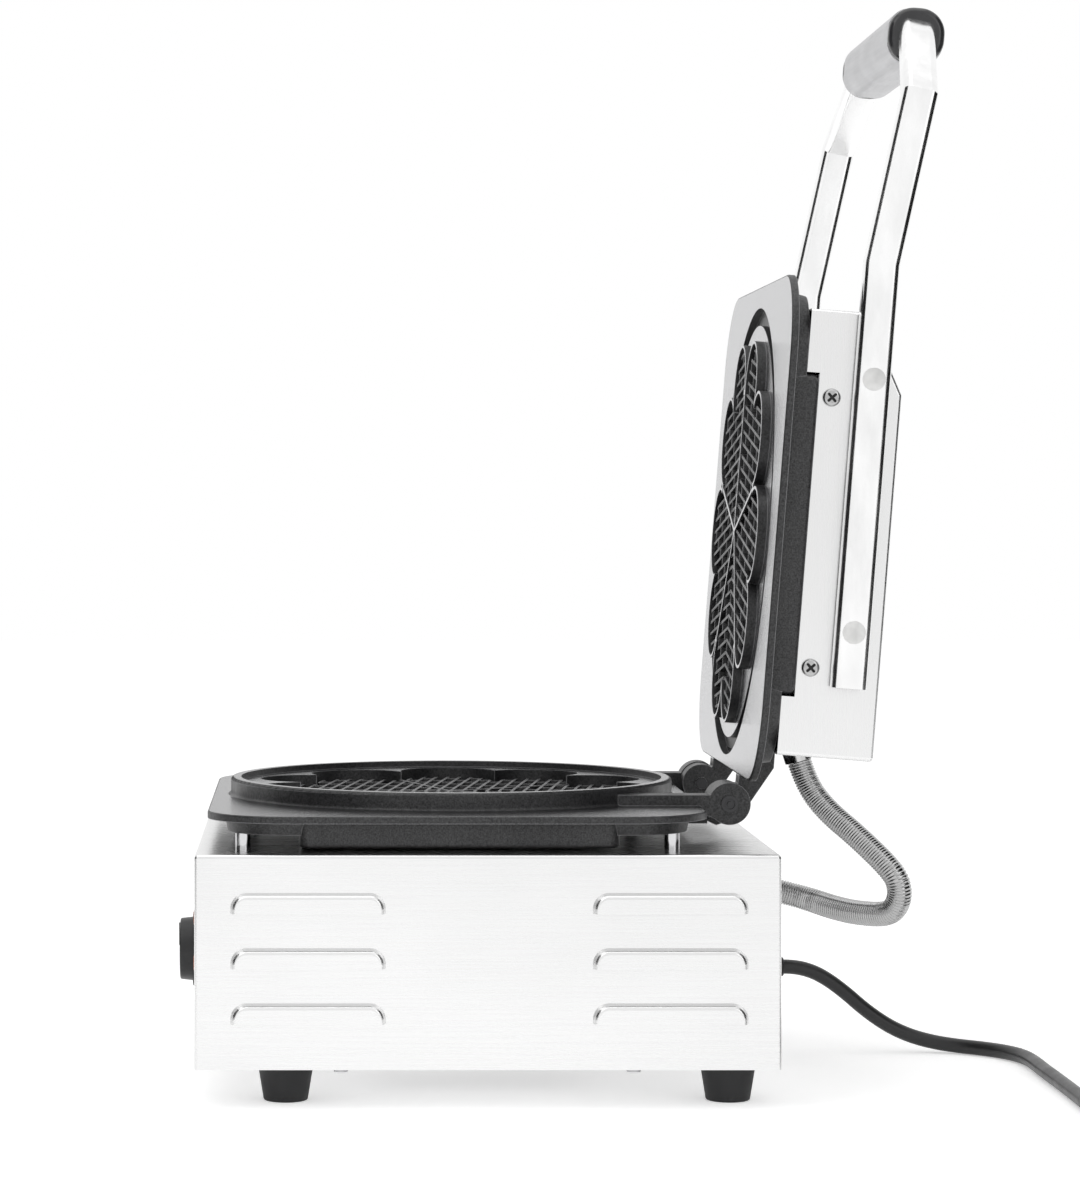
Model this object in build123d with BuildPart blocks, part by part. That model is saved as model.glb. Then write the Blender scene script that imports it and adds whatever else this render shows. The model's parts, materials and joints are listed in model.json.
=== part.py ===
from build123d import *
import os
from math import cos, degrees, pi, radians, sin, sqrt, tan

os.makedirs("parts", exist_ok=True)

# Heart waffle maker standing open, in millimetres, +Z up, front towards -Y.
# The origin is on the table, in the middle of the machine's own outline without its lead.

# Folded base
base_width = 305.0
base_depth = 295.0
base_height = 108.0
sheet = 1.0
bend_radius = 2.0
lip_width = 14.0

# Feet
foot_height = 20.0
foot_top_radius = 14.5
foot_tip_radius = 11.25
foot_side_inset = 32.5
foot_front_inset = 45.7
foot_back_inset = 23.6
foot_recess_radius = 6.5
foot_recess_depth = 12.0

# Louvres pressed out of both side panels
louvre_length = 78.0
louvre_height = 10.3
louvre_rise = 4.2
louvre_corner = 8.0
louvre_slope = 20.0
louvre_edge = 2.2
louvre_first = 23.2
louvre_pitch = 27.7
louvre_rows = 3
louvre_front_inset = 18.2
louvre_back_inset = 16.8

# Iron plates, measured along the plate from the hinge pin
plate_half_width = 149.5
plate_corner = 42.0
plate_rear = 14.3
lower_plate_front = 270.9
upper_plate_front = 275.2
flange_depth = 3.8
shoulder_inset = 9.0
shoulder_depth = 10.4
skirt_half_width = 141.5
skirt_rear = 61.5
skirt_front = 223.9
skirt_depth = 16.9
skirt_wall = 9.0
plate_gap = 6.1

# Heart field, the same in both plates
field_along = 142.0
heart_count = 5
field_radius = 108.0
lobe_half_angle = 17.0
lobe_overlap = 0.4
heart_wall = 1.8
lower_wall_rise = 1.2
heart_rise = 4.5
heart_gap = 1.4
heart_border = 1.5
upper_wall_drop = 0.2
upper_back_depth = 6.2
filler_rise = 6.0
filler_recess = 0.6
lower_floor_depth = 3.2
upper_floor_depth = 0.7
casting_floor = 3.6
lattice_pitch = 6.7
lattice_rib = 1.5
rib_inset = 3.0
lattice_slope = 9.0
lattice_rise = 4.2

# Rim of the lower plate and the groove that takes it
rim_radius = 119.4
rim_wall = 5.5
rim_rise = 9.4
groove_clearance = 2.0
groove_end_gap = 1.2

# Hinge
hinge_from_back = 18.7
hinge_above_base = 20.0
mate_above_hinge = 5.0
open_angle = 94.5
pin_radius = 3.0
pin_clearance = 0.1
pin_head_radius = 4.4
pin_head = 1.2
pin_dish_radius = 2.8
pin_stub_radius = 1.2
ear_inner = 71.0
ear_width = 14.0
ear_radius = 11.0
lug_width = 14.0
lug_radius = 10.5
hinge_side_gap = 1.0
bar_clearance = 0.4

# Posts between the base and the lower plate
post_radius = 3.9
post_half_span = 124.0
post_front = 252.3
post_rear = 33.7

# Stainless lid cover
cover_half_width = 138.0
cover_rear = 30.6
cover_front = 257.1
cover_slope_start = 216.8
cover_height = 59.5
cover_front_height = 38.7

# Handle
arm_height = 18.0
arm_thickness = 12.0
arm_corner = 4.0
arm_wall = 1.5
arm_rear = 67.2
arm_level = 43.0
arm_bend = 281.7
arm_mitre = 367.8
arm_mitre_level = 55.3
grip_along = 406.2
grip_level = 60.8
grip_half = 14.5
grip_corner = 11.0
grip_length = 160.0
cap_half = 14.7
cap_corner = 13.2
grip_cap_length = 6.0
arm_bolt_rear = 95.5
arm_bolt_front = 223.2
arm_plug_radius = 5.8

# Controls
knob_radius = 20.0
knob_length = 12.4
knob_gap = 0.9
knob_height = 62.5
knob_turn = 270.0
shaft_radius = 3.0
shaft_clearance = 0.08

# Conduit and lead
conduit_radius = 6.7
conduit_bore = 4.6
conduit_rib_pitch = 1.5
conduit_rib_depth = 0.55
cord_radius = 4.0

# Small screws
screw_radius = 2.0
screw_head_radius = 4.6
screw_head = 2.4

# Clearances shared by the fits
seat_gap = 0.3

# Heights and depths worked out from the sizes above
base_bottom = foot_height
base_top = base_bottom + base_height
hinge_z = base_top + hinge_above_base
mate_z = hinge_z + mate_above_hinge
lower_face_z = mate_z - plate_gap
lean = radians(open_angle)
along_y = -cos(lean)
along_z = sin(lean)
grip_offset = grip_level + mate_above_hinge
cap_reach = (cap_half - cap_corner) * (along_y + along_z) + cap_corner
hinge_to_back = grip_along * along_y + grip_offset * along_z + cap_reach
front_reach = base_depth / 2 + knob_gap + knob_length
back_reach = base_depth / 2 - hinge_from_back + hinge_to_back
base_mid = (front_reach - back_reach) / 2
base_front = base_mid - base_depth / 2
base_back = base_mid + base_depth / 2
hinge_y = base_back - hinge_from_back
side_x = base_width / 2

# Directions of the open lid: along it from the hinge, and up through it from its cooking face
along = Vector(0, along_y, along_z)
above = Vector(0, along_z, -along_y)
hinge_point = Vector(0, hinge_y, hinge_z)
mate_point = hinge_point + above * mate_above_hinge

# Faces of the two plates; local Y runs along the plate, local Z into its casting
lower_face = Plane(origin=(0, hinge_y, lower_face_z), x_dir=(1, 0, 0), z_dir=(0, 0, -1))
upper_face = Plane(origin=mate_point, x_dir=(-1, 0, 0), z_dir=above)


def lid_side(x):
    """Upright plane of the lid at x, with local X along the lid and local Y up through it."""
    return Plane(origin=mate_point + Vector(x, 0, 0), x_dir=along, z_dir=(-1, 0, 0))


def lid_point(x, run, level):
    """Point of the open lid from its distance along it and its height over the cooking face."""
    return mate_point + Vector(x, 0, 0) + along * run + above * level


def save(part, name):
    """Label a finished piece and write its STEP file."""
    part.label = name
    export_step(part, f"parts/{name}.step")


# Places shared by several pieces
feet_spots = [
    (side, y)
    for side in (foot_side_inset - side_x, side_x - foot_side_inset)
    for y in (base_front + foot_front_inset, base_back - foot_back_inset)
]
post_spots = [
    (side, hinge_y - run) for side in (-post_half_span, post_half_span) for run in (post_front, post_rear)
]

# Louvre: a hood open along its lower edge, and the slot pressed out behind it

def louvre_form(shrink):
    """Tapered hood standing out of the panel along +X, its open edge at the sketch's origin line."""
    with BuildPart() as form:
        with BuildSketch(Plane.YZ):
            Rectangle(louvre_length - 2 * shrink, 2 * (louvre_height - shrink))
            fillet(vertices().group_by(Axis.Y)[-1], louvre_corner - shrink)
        extrude(amount=louvre_rise - shrink, taper=louvre_slope)
        fillet(faces().sort_by(Axis.X)[-1].edges(), louvre_edge - shrink)
        with Locations((louvre_rise / 2, 0, -louvre_height)):
            Box(3 * louvre_rise, 2 * louvre_length, 2 * louvre_height, mode=Mode.SUBTRACT)
    return form.part


louvre_hood = louvre_form(0)
louvre_space = louvre_form(sheet * 0.8)
louvre_middles = (
    base_front + louvre_front_inset + louvre_length / 2,
    base_back - louvre_back_inset - louvre_length / 2,
)
louvre_spots = [
    (turn, y, base_bottom + louvre_first + row * louvre_pitch)
    for turn in (0, 180)
    for y in louvre_middles
    for row in range(louvre_rows)
]

# Openings of the base shell
switch_x = -78.0
switch_width = 28.0
switch_height = 22.0
switch_level = base_bottom + base_height / 2
lamp_radius = 5.0
lamp_spots = [(58.0, switch_level + 12), (58.0, switch_level - 12)]
knob_z = knob_height
conduit_x = -30.0
conduit_z = 94.6
conduit_slope = 13.0
fitting_radius = 7.5
gland_x = -40.0
gland_z = 47.5
gland_neck = 6.5
lead_hole_radius = 9.0
bolt_radius = 2.5
hole_gap = 0.3

# Folded base shell with its lips, louvres and openings
with BuildPart() as base_shell:
    with BuildSketch(Plane.XY.offset(base_bottom)):
        with Locations((0, base_mid)):
            Rectangle(base_width, base_depth)
    extrude(amount=base_height)
    fillet(edges().filter_by(Axis.Z), bend_radius)
    fillet(faces().sort_by(Axis.Z)[-1].edges(), bend_radius)
    with BuildSketch(Plane.XY.offset(base_bottom + 2 * sheet)):
        with Locations((0, base_mid)):
            RectangleRounded(base_width - 2 * sheet, base_depth - 2 * sheet, bend_radius - sheet)
    extrude(amount=base_height - 3 * sheet, mode=Mode.SUBTRACT)
    with BuildSketch(Plane.XY.offset(base_bottom)):
        with Locations((0, base_mid)):
            Rectangle(base_width - 2 * lip_width, base_depth - 2 * lip_width)
    extrude(amount=2 * sheet, mode=Mode.SUBTRACT)
    with BuildSketch(Plane.XY.offset(base_bottom)):
        with Locations((0, base_mid)):
            RectangleRounded(base_width - 2 * sheet, base_depth - 2 * sheet, bend_radius - sheet)
    extrude(amount=sheet, mode=Mode.SUBTRACT)
    for turn, y, z in louvre_spots:
        with Locations(Location((side_x * cos(radians(turn)), y, z), (0, 0, turn))):
            add(louvre_hood)
            add(louvre_space, mode=Mode.SUBTRACT)
        with Locations(Location(((side_x - sheet) * cos(radians(turn)), y, z), (0, 0, turn))):
            add(louvre_space, mode=Mode.SUBTRACT)
    with BuildSketch(Plane.XZ.offset(-base_front)):
        with Locations((0, knob_z)):
            Circle(shaft_radius + hole_gap + 1)
        with Locations((switch_x, switch_level)):
            Rectangle(switch_width, switch_height)
        with Locations(*lamp_spots):
            Circle(lamp_radius + hole_gap)
    extrude(amount=2 * sheet, both=True, mode=Mode.SUBTRACT)
    with BuildSketch(Plane.XZ.offset(-base_back)):
        with Locations((conduit_x, conduit_z)):
            Circle(fitting_radius - 1)
        with Locations((gland_x, gland_z)):
            Circle(gland_neck + hole_gap)
    extrude(amount=2 * sheet, both=True, mode=Mode.SUBTRACT)
    with BuildSketch(Plane.XY.offset(base_top)):
        with Locations(*post_spots):
            Circle(bolt_radius + hole_gap)
        with Locations((0, hinge_y - field_along)):
            Circle(lead_hole_radius)
    extrude(amount=2 * sheet, both=True, mode=Mode.SUBTRACT)
save(base_shell.part, "base_shell")

# Floor sheet under the lips, with a field of air slots
slot_length = 60.0
slot_width = 4.0
slot_pitch = 12.0
slot_count = 9
floor_screw_inset = sheet + lip_width / 2
floor_screw_spots = [
    (x, y)
    for x in (floor_screw_inset - side_x, side_x - floor_screw_inset)
    for y in (base_mid - base_depth / 4, base_mid + base_depth / 4)
] + [(0, base_front + floor_screw_inset), (0, base_back - floor_screw_inset)]
with BuildPart() as base_floor:
    with BuildSketch(Plane.XY.offset(base_bottom)):
        with Locations((0, base_mid)):
            Rectangle(base_width - 2 * sheet - 1, base_depth - 2 * sheet - 1)
        with Locations((0, base_mid)):
            with GridLocations(2 * slot_length, slot_pitch, 2, slot_count):
                SlotOverall(slot_length, slot_width, mode=Mode.SUBTRACT)
        with Locations(*feet_spots):
            Circle(bolt_radius + hole_gap, mode=Mode.SUBTRACT)
        with Locations(*floor_screw_spots):
            Circle(screw_radius - 0.4, mode=Mode.SUBTRACT)
    extrude(amount=sheet - 0.02)
save(base_floor.part, "base_floor")

# Self-tapping screws up through the floor sheet into the lips
with BuildPart() as floor_screws:
    with BuildSketch(Plane.XY.offset(base_bottom)):
        with Locations(*floor_screw_spots):
            Circle(screw_head_radius - 1)
    extrude(amount=-screw_head + 0.6)
    with BuildSketch(Plane.XY.offset(base_bottom)):
        with Locations(*floor_screw_spots):
            Circle(screw_radius - 0.5)
    extrude(amount=sheet - 0.1)
save(floor_screws.part, "floor_screws")

# Four tapered rubber feet with a recess for their screws
with BuildPart() as feet:
    for x, y in feet_spots:
        with BuildSketch(Plane.XY):
            with Locations((x, y)):
                Circle(foot_tip_radius)
        with BuildSketch(Plane.XY.offset(foot_height)):
            with Locations((x, y)):
                Circle(foot_top_radius)
        loft()
    fillet(edges().group_by(Axis.Z)[0], 1.2)
    with BuildSketch(Plane.XY):
        with Locations(*feet_spots):
            Circle(foot_recess_radius)
    extrude(amount=foot_recess_depth, mode=Mode.SUBTRACT)
    with BuildSketch(Plane.XY):
        with Locations(*feet_spots):
            Circle(bolt_radius + hole_gap)
    extrude(amount=foot_height, mode=Mode.SUBTRACT)
save(feet.part, "feet")

# Screws of the feet, each with its washer head in the recess and its nut on the floor sheet
nut_height = 4.0
nut_radius = 4.6
with BuildPart() as foot_screws:
    with BuildSketch(Plane.XY.offset(foot_recess_depth)):
        with Locations(*feet_spots):
            Circle(foot_recess_radius - 1)
    extrude(amount=-screw_head)
    with BuildSketch(Plane.XY.offset(foot_recess_depth)):
        with Locations(*feet_spots):
            Circle(bolt_radius)
    extrude(amount=foot_height - foot_recess_depth + sheet + nut_height + 1)
    with BuildSketch(Plane.XY.offset(base_bottom + sheet)):
        with Locations(*feet_spots):
            RegularPolygon(nut_radius, 6)
    extrude(amount=nut_height)
save(foot_screws.part, "foot_screws")

# Polished posts that carry the lower plate, and the bolts that hold them from inside the base
post_top = lower_face_z - shoulder_depth
with BuildPart() as plate_posts:
    with BuildSketch(Plane.XY.offset(base_top)):
        with Locations(*post_spots):
            Circle(post_radius)
            Circle(bolt_radius + hole_gap, mode=Mode.SUBTRACT)
    extrude(amount=post_top - base_top)
save(plate_posts.part, "plate_posts")

bolt_depth = 6.0
with BuildPart() as post_bolts:
    with BuildSketch(Plane.XY.offset(base_top - sheet)):
        with Locations(*post_spots):
            RegularPolygon(nut_radius, 6)
    extrude(amount=-nut_height)
    with BuildSketch(Plane.XY.offset(base_top - sheet)):
        with Locations(*post_spots):
            Circle(bolt_radius)
    extrude(amount=post_top + bolt_depth - base_top + sheet)
save(post_bolts.part, "post_bolts")

# Outline of the heart field: ten lobes round one centre, two to each heart
heart_angle = 360 / heart_count
lobe_step = sin(radians(heart_angle / 2 - lobe_half_angle))
lobe_centre = (field_radius - lobe_overlap) / (1 + lobe_step)
lobe_radius = field_radius - lobe_centre
lobe_angles = [
    heart * heart_angle + heart_angle / 2 + side * lobe_half_angle
    for heart in range(heart_count)
    for side in (-1, 1)
]
wall_reach = lobe_centre * cos(radians(heart_angle / 2 - lobe_half_angle))


def polar(radius, angle):
    """Point of the heart field at an angle from the line that runs to the front."""
    return (radius * sin(radians(angle)), field_along + radius * cos(radians(angle)))


def heart_field(inset=0.0, pull=0.0):
    """Draw the outline of the five hearts together, its lobes and its middle drawn in by themselves."""
    lobes = [polar(lobe_centre, angle) for angle in lobe_angles]
    Polygon(*[polar(lobe_centre - pull, angle) for angle in reversed(lobe_angles)], align=None)
    with Locations(*lobes):
        Circle(lobe_radius - inset)


def heart_lattice():
    """Draw the ribs, each a shallow chevron that falls away from the middle line of the plate."""
    rows = int(field_radius / lattice_pitch)
    reach = field_radius * 1.1
    fall = reach * tan(radians(lattice_slope))
    for row in range(-rows, rows + 3):
        run = field_along + row * lattice_pitch
        Polygon(
            (0, run),
            (reach, run - fall),
            (reach, run - fall + lattice_rib),
            (0, run + lattice_rib),
            (-reach, run - fall + lattice_rib),
            (-reach, run - fall),
            align=None,
        )


def add_plate(face, front):
    """Cast flange, shoulder and skirt of one plate behind its cooking face."""
    middle = (plate_rear + front) / 2
    length = front - plate_rear
    with BuildSketch(face) as flange:
        with Locations((0, middle)):
            RectangleRounded(2 * plate_half_width, length, plate_corner)
    extrude(flange.sketch, amount=flange_depth)
    with BuildSketch(face.offset(flange_depth)) as shoulder:
        with Locations((0, middle)):
            RectangleRounded(
                2 * (plate_half_width - shoulder_inset),
                length - 2 * shoulder_inset,
                plate_corner - shoulder_inset,
            )
    extrude(shoulder.sketch, amount=shoulder_depth - flange_depth, taper=12)
    with BuildSketch(face) as skirt:
        with Locations((0, (skirt_rear + skirt_front) / 2)):
            RectangleRounded(2 * skirt_half_width, skirt_front - skirt_rear, 6)
    extrude(skirt.sketch, amount=skirt_depth)


def cut_cavity(face, floor_depth):
    """Hollow the skirt behind the heart pockets."""
    top = floor_depth + casting_floor
    with BuildSketch(face.offset(top)) as cavity:
        with Locations((0, (skirt_rear + skirt_front) / 2)):
            RectangleRounded(
                2 * (skirt_half_width - skirt_wall), skirt_front - skirt_rear - 2 * skirt_wall, 4
            )
    extrude(cavity.sketch, amount=skirt_depth - top, mode=Mode.SUBTRACT)


def add_hearts(face, floor_depth, top, wall_top, border, reach):
    """Cut the heart pockets from level top down to their floor, then cast in the lattice and walls."""
    with BuildSketch(face.offset(top)) as field:
        heart_field(border, border)
    extrude(field.sketch, amount=floor_depth - top, mode=Mode.SUBTRACT)
    with BuildSketch(face.offset(floor_depth)) as lattice:
        heart_lattice()
        with BuildSketch(mode=Mode.INTERSECT):
            heart_field(border + rib_inset, border)
    extrude(lattice.sketch, amount=-lattice_rise)
    with BuildSketch(face.offset(floor_depth)) as walls:
        for heart in range(heart_count):
            angle = heart * heart_angle
            with Locations(Location((*polar(reach / 2, angle), 0), (0, 0, 90 - angle))):
                Rectangle(reach, heart_wall)
    extrude(walls.sketch, amount=wall_top - floor_depth)


# Element: one round of sheathed tube behind the hearts, its two ends turned towards the leads
element_radius = 3.25
element_span = 100.0
element_depth = 64.0
element_bend = 22.0
element_gap = 16.0


def element_path(plane):
    """Racetrack of the heating element on its plane, open where the leads join."""
    far = field_along + element_depth
    near = field_along - element_depth
    with BuildLine(plane) as path:
        FilletPolyline(
            (element_gap / 2, near + 2 * element_bend),
            (element_gap / 2, near),
            (element_span, near),
            (element_span, far),
            (-element_span, far),
            (-element_span, near),
            (-element_gap / 2, near),
            (-element_gap / 2, near + 2 * element_bend),
            radius=[7.0, element_bend, element_bend, element_bend, element_bend, 7.0],
        )
    return path.line


def heating_element(plane):
    """Sheathed tube swept along its racetrack."""
    path = element_path(plane)
    with BuildPart() as element:
        with BuildSketch(Plane(origin=path @ 0, z_dir=path % 0)):
            Circle(element_radius)
        sweep(path=path)
    return element.part


# Bosses behind the hearts that the heater covers screw to
boss_radius = 5.0
boss_spots = [
    (x, field_along + run)
    for x in (-element_span / 2, element_span / 2)
    for run in (-element_depth / 2, element_depth / 2)
]
boss_screw_depth = 5.0


def add_bosses(face, floor_depth, level):
    """Cast four screw bosses in the cavity, up to the level of the heater cover."""
    top = floor_depth + casting_floor
    with BuildSketch(face.offset(top)) as bosses:
        with Locations(*boss_spots):
            Circle(boss_radius)
    extrude(bosses.sketch, amount=level - top)
    with BuildSketch(face.offset(level)) as holes:
        with Locations(*boss_spots):
            Circle(screw_radius + hole_gap)
    extrude(holes.sketch, amount=-boss_screw_depth, mode=Mode.SUBTRACT)


# Side outline of the lid's hinge lug, as distance along the lid and height over its cooking face
lug_inner = ear_inner - hinge_side_gap - lug_width
toe_tip = (-11.1, -13.9)
lug_outline = [
    (30.0, 0.7),
    (10.0, 0.5),
    (-6.0, -12.8),
    toe_tip,
    (-12.8, -9.4),
    (-7.7, 2.0),
    (-3.1, 5.4),
    (19.4, 18.4),
    (30.0, 18.4),
]
stop_y = toe_tip[0] * along_y + (toe_tip[1] + mate_above_hinge) * along_z - seat_gap
lower_cover_level = skirt_depth - 1.2
upper_cover_level = skirt_depth
bar_reach = field_along - sqrt(rim_radius**2 - (ear_inner + ear_width) ** 2) + 1
bar_low = mate_above_hinge - plate_gap - flange_depth
bar_top = mate_above_hinge - bar_clearance

# Lower plate with its rim, hinge bars and stop pads
with BuildPart() as lower_plate:
    add_plate(lower_face, lower_plate_front)
    fillet(faces().sort_by(Axis.Z)[0].edges(), 2.5)
    fillet(faces().sort_by(Axis.Z)[-1].edges(), 1.2)
    with BuildSketch(lower_face):
        with Locations((0, field_along)):
            Circle(rim_radius)
    extrude(amount=-rim_rise)
    fillet(edges().filter_by(GeomType.CIRCLE).filter_by(lambda e: abs(e.radius - rim_radius) < 0.1), 1.6)
    for side in (-1, 1):
        with BuildSketch(Plane(origin=(side * ear_inner, hinge_y, hinge_z), x_dir=(0, 1, 0), z_dir=(1, 0, 0))):
            Polygon(
                (-bar_reach, bar_low),
                (-plate_rear, bar_low),
                (-3, -ear_radius + 1),
                (0, bar_top),
                (-bar_reach, bar_top),
                align=None,
            )
            Circle(ear_radius)
        extrude(amount=side * ear_width)
        with BuildSketch(Plane(origin=(side * lug_inner, hinge_y, hinge_z), x_dir=(0, 1, 0), z_dir=(1, 0, 0))):
            stop_low = lower_face_z - shoulder_depth - hinge_z
            Polygon(
                (-plate_rear - 12, stop_low),
                (stop_y, stop_low),
                (stop_y, bar_low),
                (-plate_rear - 12, bar_low),
                align=None,
            )
        extrude(amount=side * lug_width)
    with BuildSketch(lower_face.offset(-rim_rise)):
        with Locations((0, field_along)):
            Circle(rim_radius - rim_wall)
    extrude(amount=rim_rise - filler_rise, mode=Mode.SUBTRACT)
    cut_cavity(lower_face, lower_floor_depth)
    add_bosses(lower_face, lower_floor_depth, lower_cover_level)
    add_hearts(lower_face, lower_floor_depth, -filler_rise, -lower_wall_rise, 0.0, wall_reach + 6)
    with Locations(Location((0, hinge_y, hinge_z), (0, 90, 0))):
        Cylinder(pin_radius + 0.02, base_width, mode=Mode.SUBTRACT)
    with BuildSketch(Plane.XY.offset(post_top)):
        with Locations(*post_spots):
            Circle(bolt_radius + hole_gap)
    extrude(amount=bolt_depth + 1, mode=Mode.SUBTRACT)
save(lower_plate.part, "lower_plate")

# Upper plate with the groove for the rim, its raised hearts, and its hinge lugs
groove_outer = rim_radius + groove_clearance
groove_inner = rim_radius - rim_wall - groove_clearance
groove_depth = rim_rise - plate_gap + groove_end_gap
upper_axis = Axis(mate_point, above)
with BuildPart() as upper_plate:
    add_plate(upper_face, upper_plate_front)
    fillet(faces().sort_by(upper_axis)[-1].edges(), 2.5)
    fillet(faces().sort_by(upper_axis)[0].edges(), 1.2)
    for side in (-1, 1):
        with BuildSketch(lid_side(side * lug_inner)):
            Polygon(*lug_outline, align=None)
            with Locations((0, -mate_above_hinge)):
                Circle(lug_radius)
        extrude(amount=-side * lug_width)
    with BuildSketch(upper_face):
        with Locations((0, field_along)):
            Circle(groove_outer)
            Circle(groove_inner, mode=Mode.SUBTRACT)
    extrude(amount=groove_depth, mode=Mode.SUBTRACT)
    with BuildSketch(upper_face):
        with Locations((0, field_along)):
            Circle(groove_inner)
    extrude(amount=filler_recess, mode=Mode.SUBTRACT)
    with BuildSketch(upper_face.offset(filler_recess)):
        heart_field(heart_gap)
    extrude(amount=-filler_recess - heart_rise)
    cut_cavity(upper_face, upper_back_depth)
    add_bosses(upper_face, upper_back_depth, upper_cover_level)
    border = heart_gap + heart_border
    add_hearts(upper_face, upper_floor_depth, -heart_rise, upper_wall_drop - heart_rise, border, wall_reach - 0.5)
    with Locations(Location((0, hinge_y, hinge_z), (0, 90, 0))):
        Cylinder(pin_radius + pin_clearance, base_width, mode=Mode.SUBTRACT)
save(upper_plate.part, "upper_plate")

# Two hinge pins, dished at their visible ends
with BuildPart() as hinge_pins:
    for side in (-1, 1):
        outer = side * (ear_inner + ear_width)
        with BuildSketch(Plane(origin=(outer, hinge_y, hinge_z), z_dir=(side, 0, 0))):
            Circle(pin_head_radius)
        extrude(amount=pin_head)
        with BuildSketch(Plane(origin=(outer, hinge_y, hinge_z), z_dir=(side, 0, 0))):
            Circle(pin_radius)
        extrude(amount=-(ear_width + hinge_side_gap + lug_width + 2))
        with BuildSketch(Plane(origin=(outer + side * pin_head, hinge_y, hinge_z), z_dir=(side, 0, 0))):
            Circle(pin_dish_radius)
            Circle(pin_stub_radius, mode=Mode.SUBTRACT)
        extrude(amount=-pin_head, mode=Mode.SUBTRACT)
save(hinge_pins.part, "hinge_pins")

# Heating elements and the sheets that press them to the castings
heater_cover_inset = 21.5
cover_lead_hole = 12.0
cover_width = 2 * (skirt_half_width - heater_cover_inset)
cover_run = skirt_front - skirt_rear - 2 * skirt_wall - 1


def heater_parts(face, floor_depth, level):
    """Element, its cover sheet and the cover's screws behind one plate."""
    centre = floor_depth + casting_floor + seat_gap + element_radius
    element = heating_element(face.offset(centre))
    with BuildPart() as cover:
        with BuildSketch(face.offset(level)):
            with Locations((0, (skirt_rear + skirt_front) / 2)):
                Rectangle(cover_width, cover_run)
            with Locations((0, field_along)):
                Circle(cover_lead_hole, mode=Mode.SUBTRACT)
            with Locations(*boss_spots):
                Circle(screw_radius + hole_gap, mode=Mode.SUBTRACT)
        extrude(amount=sheet)
    with BuildPart() as screws:
        with BuildSketch(face.offset(level + sheet)):
            with Locations(*boss_spots):
                Circle(screw_head_radius)
        extrude(amount=screw_head - 1)
        with BuildSketch(face.offset(level + sheet)):
            with Locations(*boss_spots):
                Circle(screw_radius)
        extrude(amount=-(boss_screw_depth - 1))
    return element, cover.part, screws.part


lower_element, lower_cover, lower_screws = heater_parts(lower_face, lower_floor_depth, lower_cover_level)
upper_element, upper_cover, upper_screws = heater_parts(upper_face, upper_back_depth, upper_cover_level)
save(lower_element, "lower_heating_element")
save(lower_cover, "lower_heater_cover")
save(lower_screws, "lower_heater_screws")
save(upper_element, "upper_heating_element")
save(upper_cover, "upper_heater_cover")
save(upper_screws, "upper_heater_screws")

# Screws and bolts through the sides of the lid, as distance along it and height over its face
cover_screw_spots = [(75.8, 24.0), (212.8, 24.0)]
arm_bolt_spots = [(arm_bolt_rear, arm_level), (arm_bolt_front, arm_level)]
arm_bolt_radius = 3.0
lid_conduit_x = -5.0
lid_conduit_level = 38.6
cover_foot = shoulder_depth + seat_gap
cover_bend = 2.0


def cover_profile(inset):
    """Side outline of the lid cover, moved in by the inset everywhere but at its open edge."""
    slope = (cover_height - cover_front_height) / (cover_front - cover_slope_start)
    start = cover_slope_start - inset * tan(radians(13))
    front = cover_front - inset
    top = cover_height - inset
    Polygon(
        (cover_rear + inset, cover_foot),
        (front, cover_foot),
        (front, top - slope * (front - start)),
        (start, top),
        (cover_rear + inset, top),
        align=None,
    )


# Folded stainless cover over the back of the upper plate
with BuildPart() as lid_cover:
    with BuildSketch(lid_side(0)):
        cover_profile(0)
    extrude(amount=cover_half_width, both=True)
    fillet(edges().filter_by(Axis.X).sort_by(upper_axis)[2:], cover_bend)
    fillet(faces().sort_by(upper_axis)[-1].edges().filter_by(Axis(hinge_point, along)), cover_bend)
    with BuildSketch(lid_side(0)):
        cover_profile(sheet)
    extrude(amount=cover_half_width - sheet, both=True, mode=Mode.SUBTRACT)
    with BuildSketch(lid_side(0)):
        Polygon(
            (skirt_rear - 1, 0),
            (skirt_front + 1, 0),
            (skirt_front + 1, skirt_depth + seat_gap),
            (skirt_rear - 1, skirt_depth + seat_gap),
            align=None,
        )
    extrude(amount=cover_half_width + 1, both=True, mode=Mode.SUBTRACT)
    with BuildSketch(lid_side(0)):
        with Locations(*cover_screw_spots):
            Circle(screw_radius + hole_gap)
        with Locations(*arm_bolt_spots):
            Circle(arm_bolt_radius + hole_gap)
    extrude(amount=cover_half_width + 1, both=True, mode=Mode.SUBTRACT)
    with Locations(Plane(origin=lid_point(lid_conduit_x, cover_rear, lid_conduit_level), z_dir=along)):
        Cylinder(fitting_radius - 1, 4 * sheet, mode=Mode.SUBTRACT)
save(lid_cover.part, "lid_cover")

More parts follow.
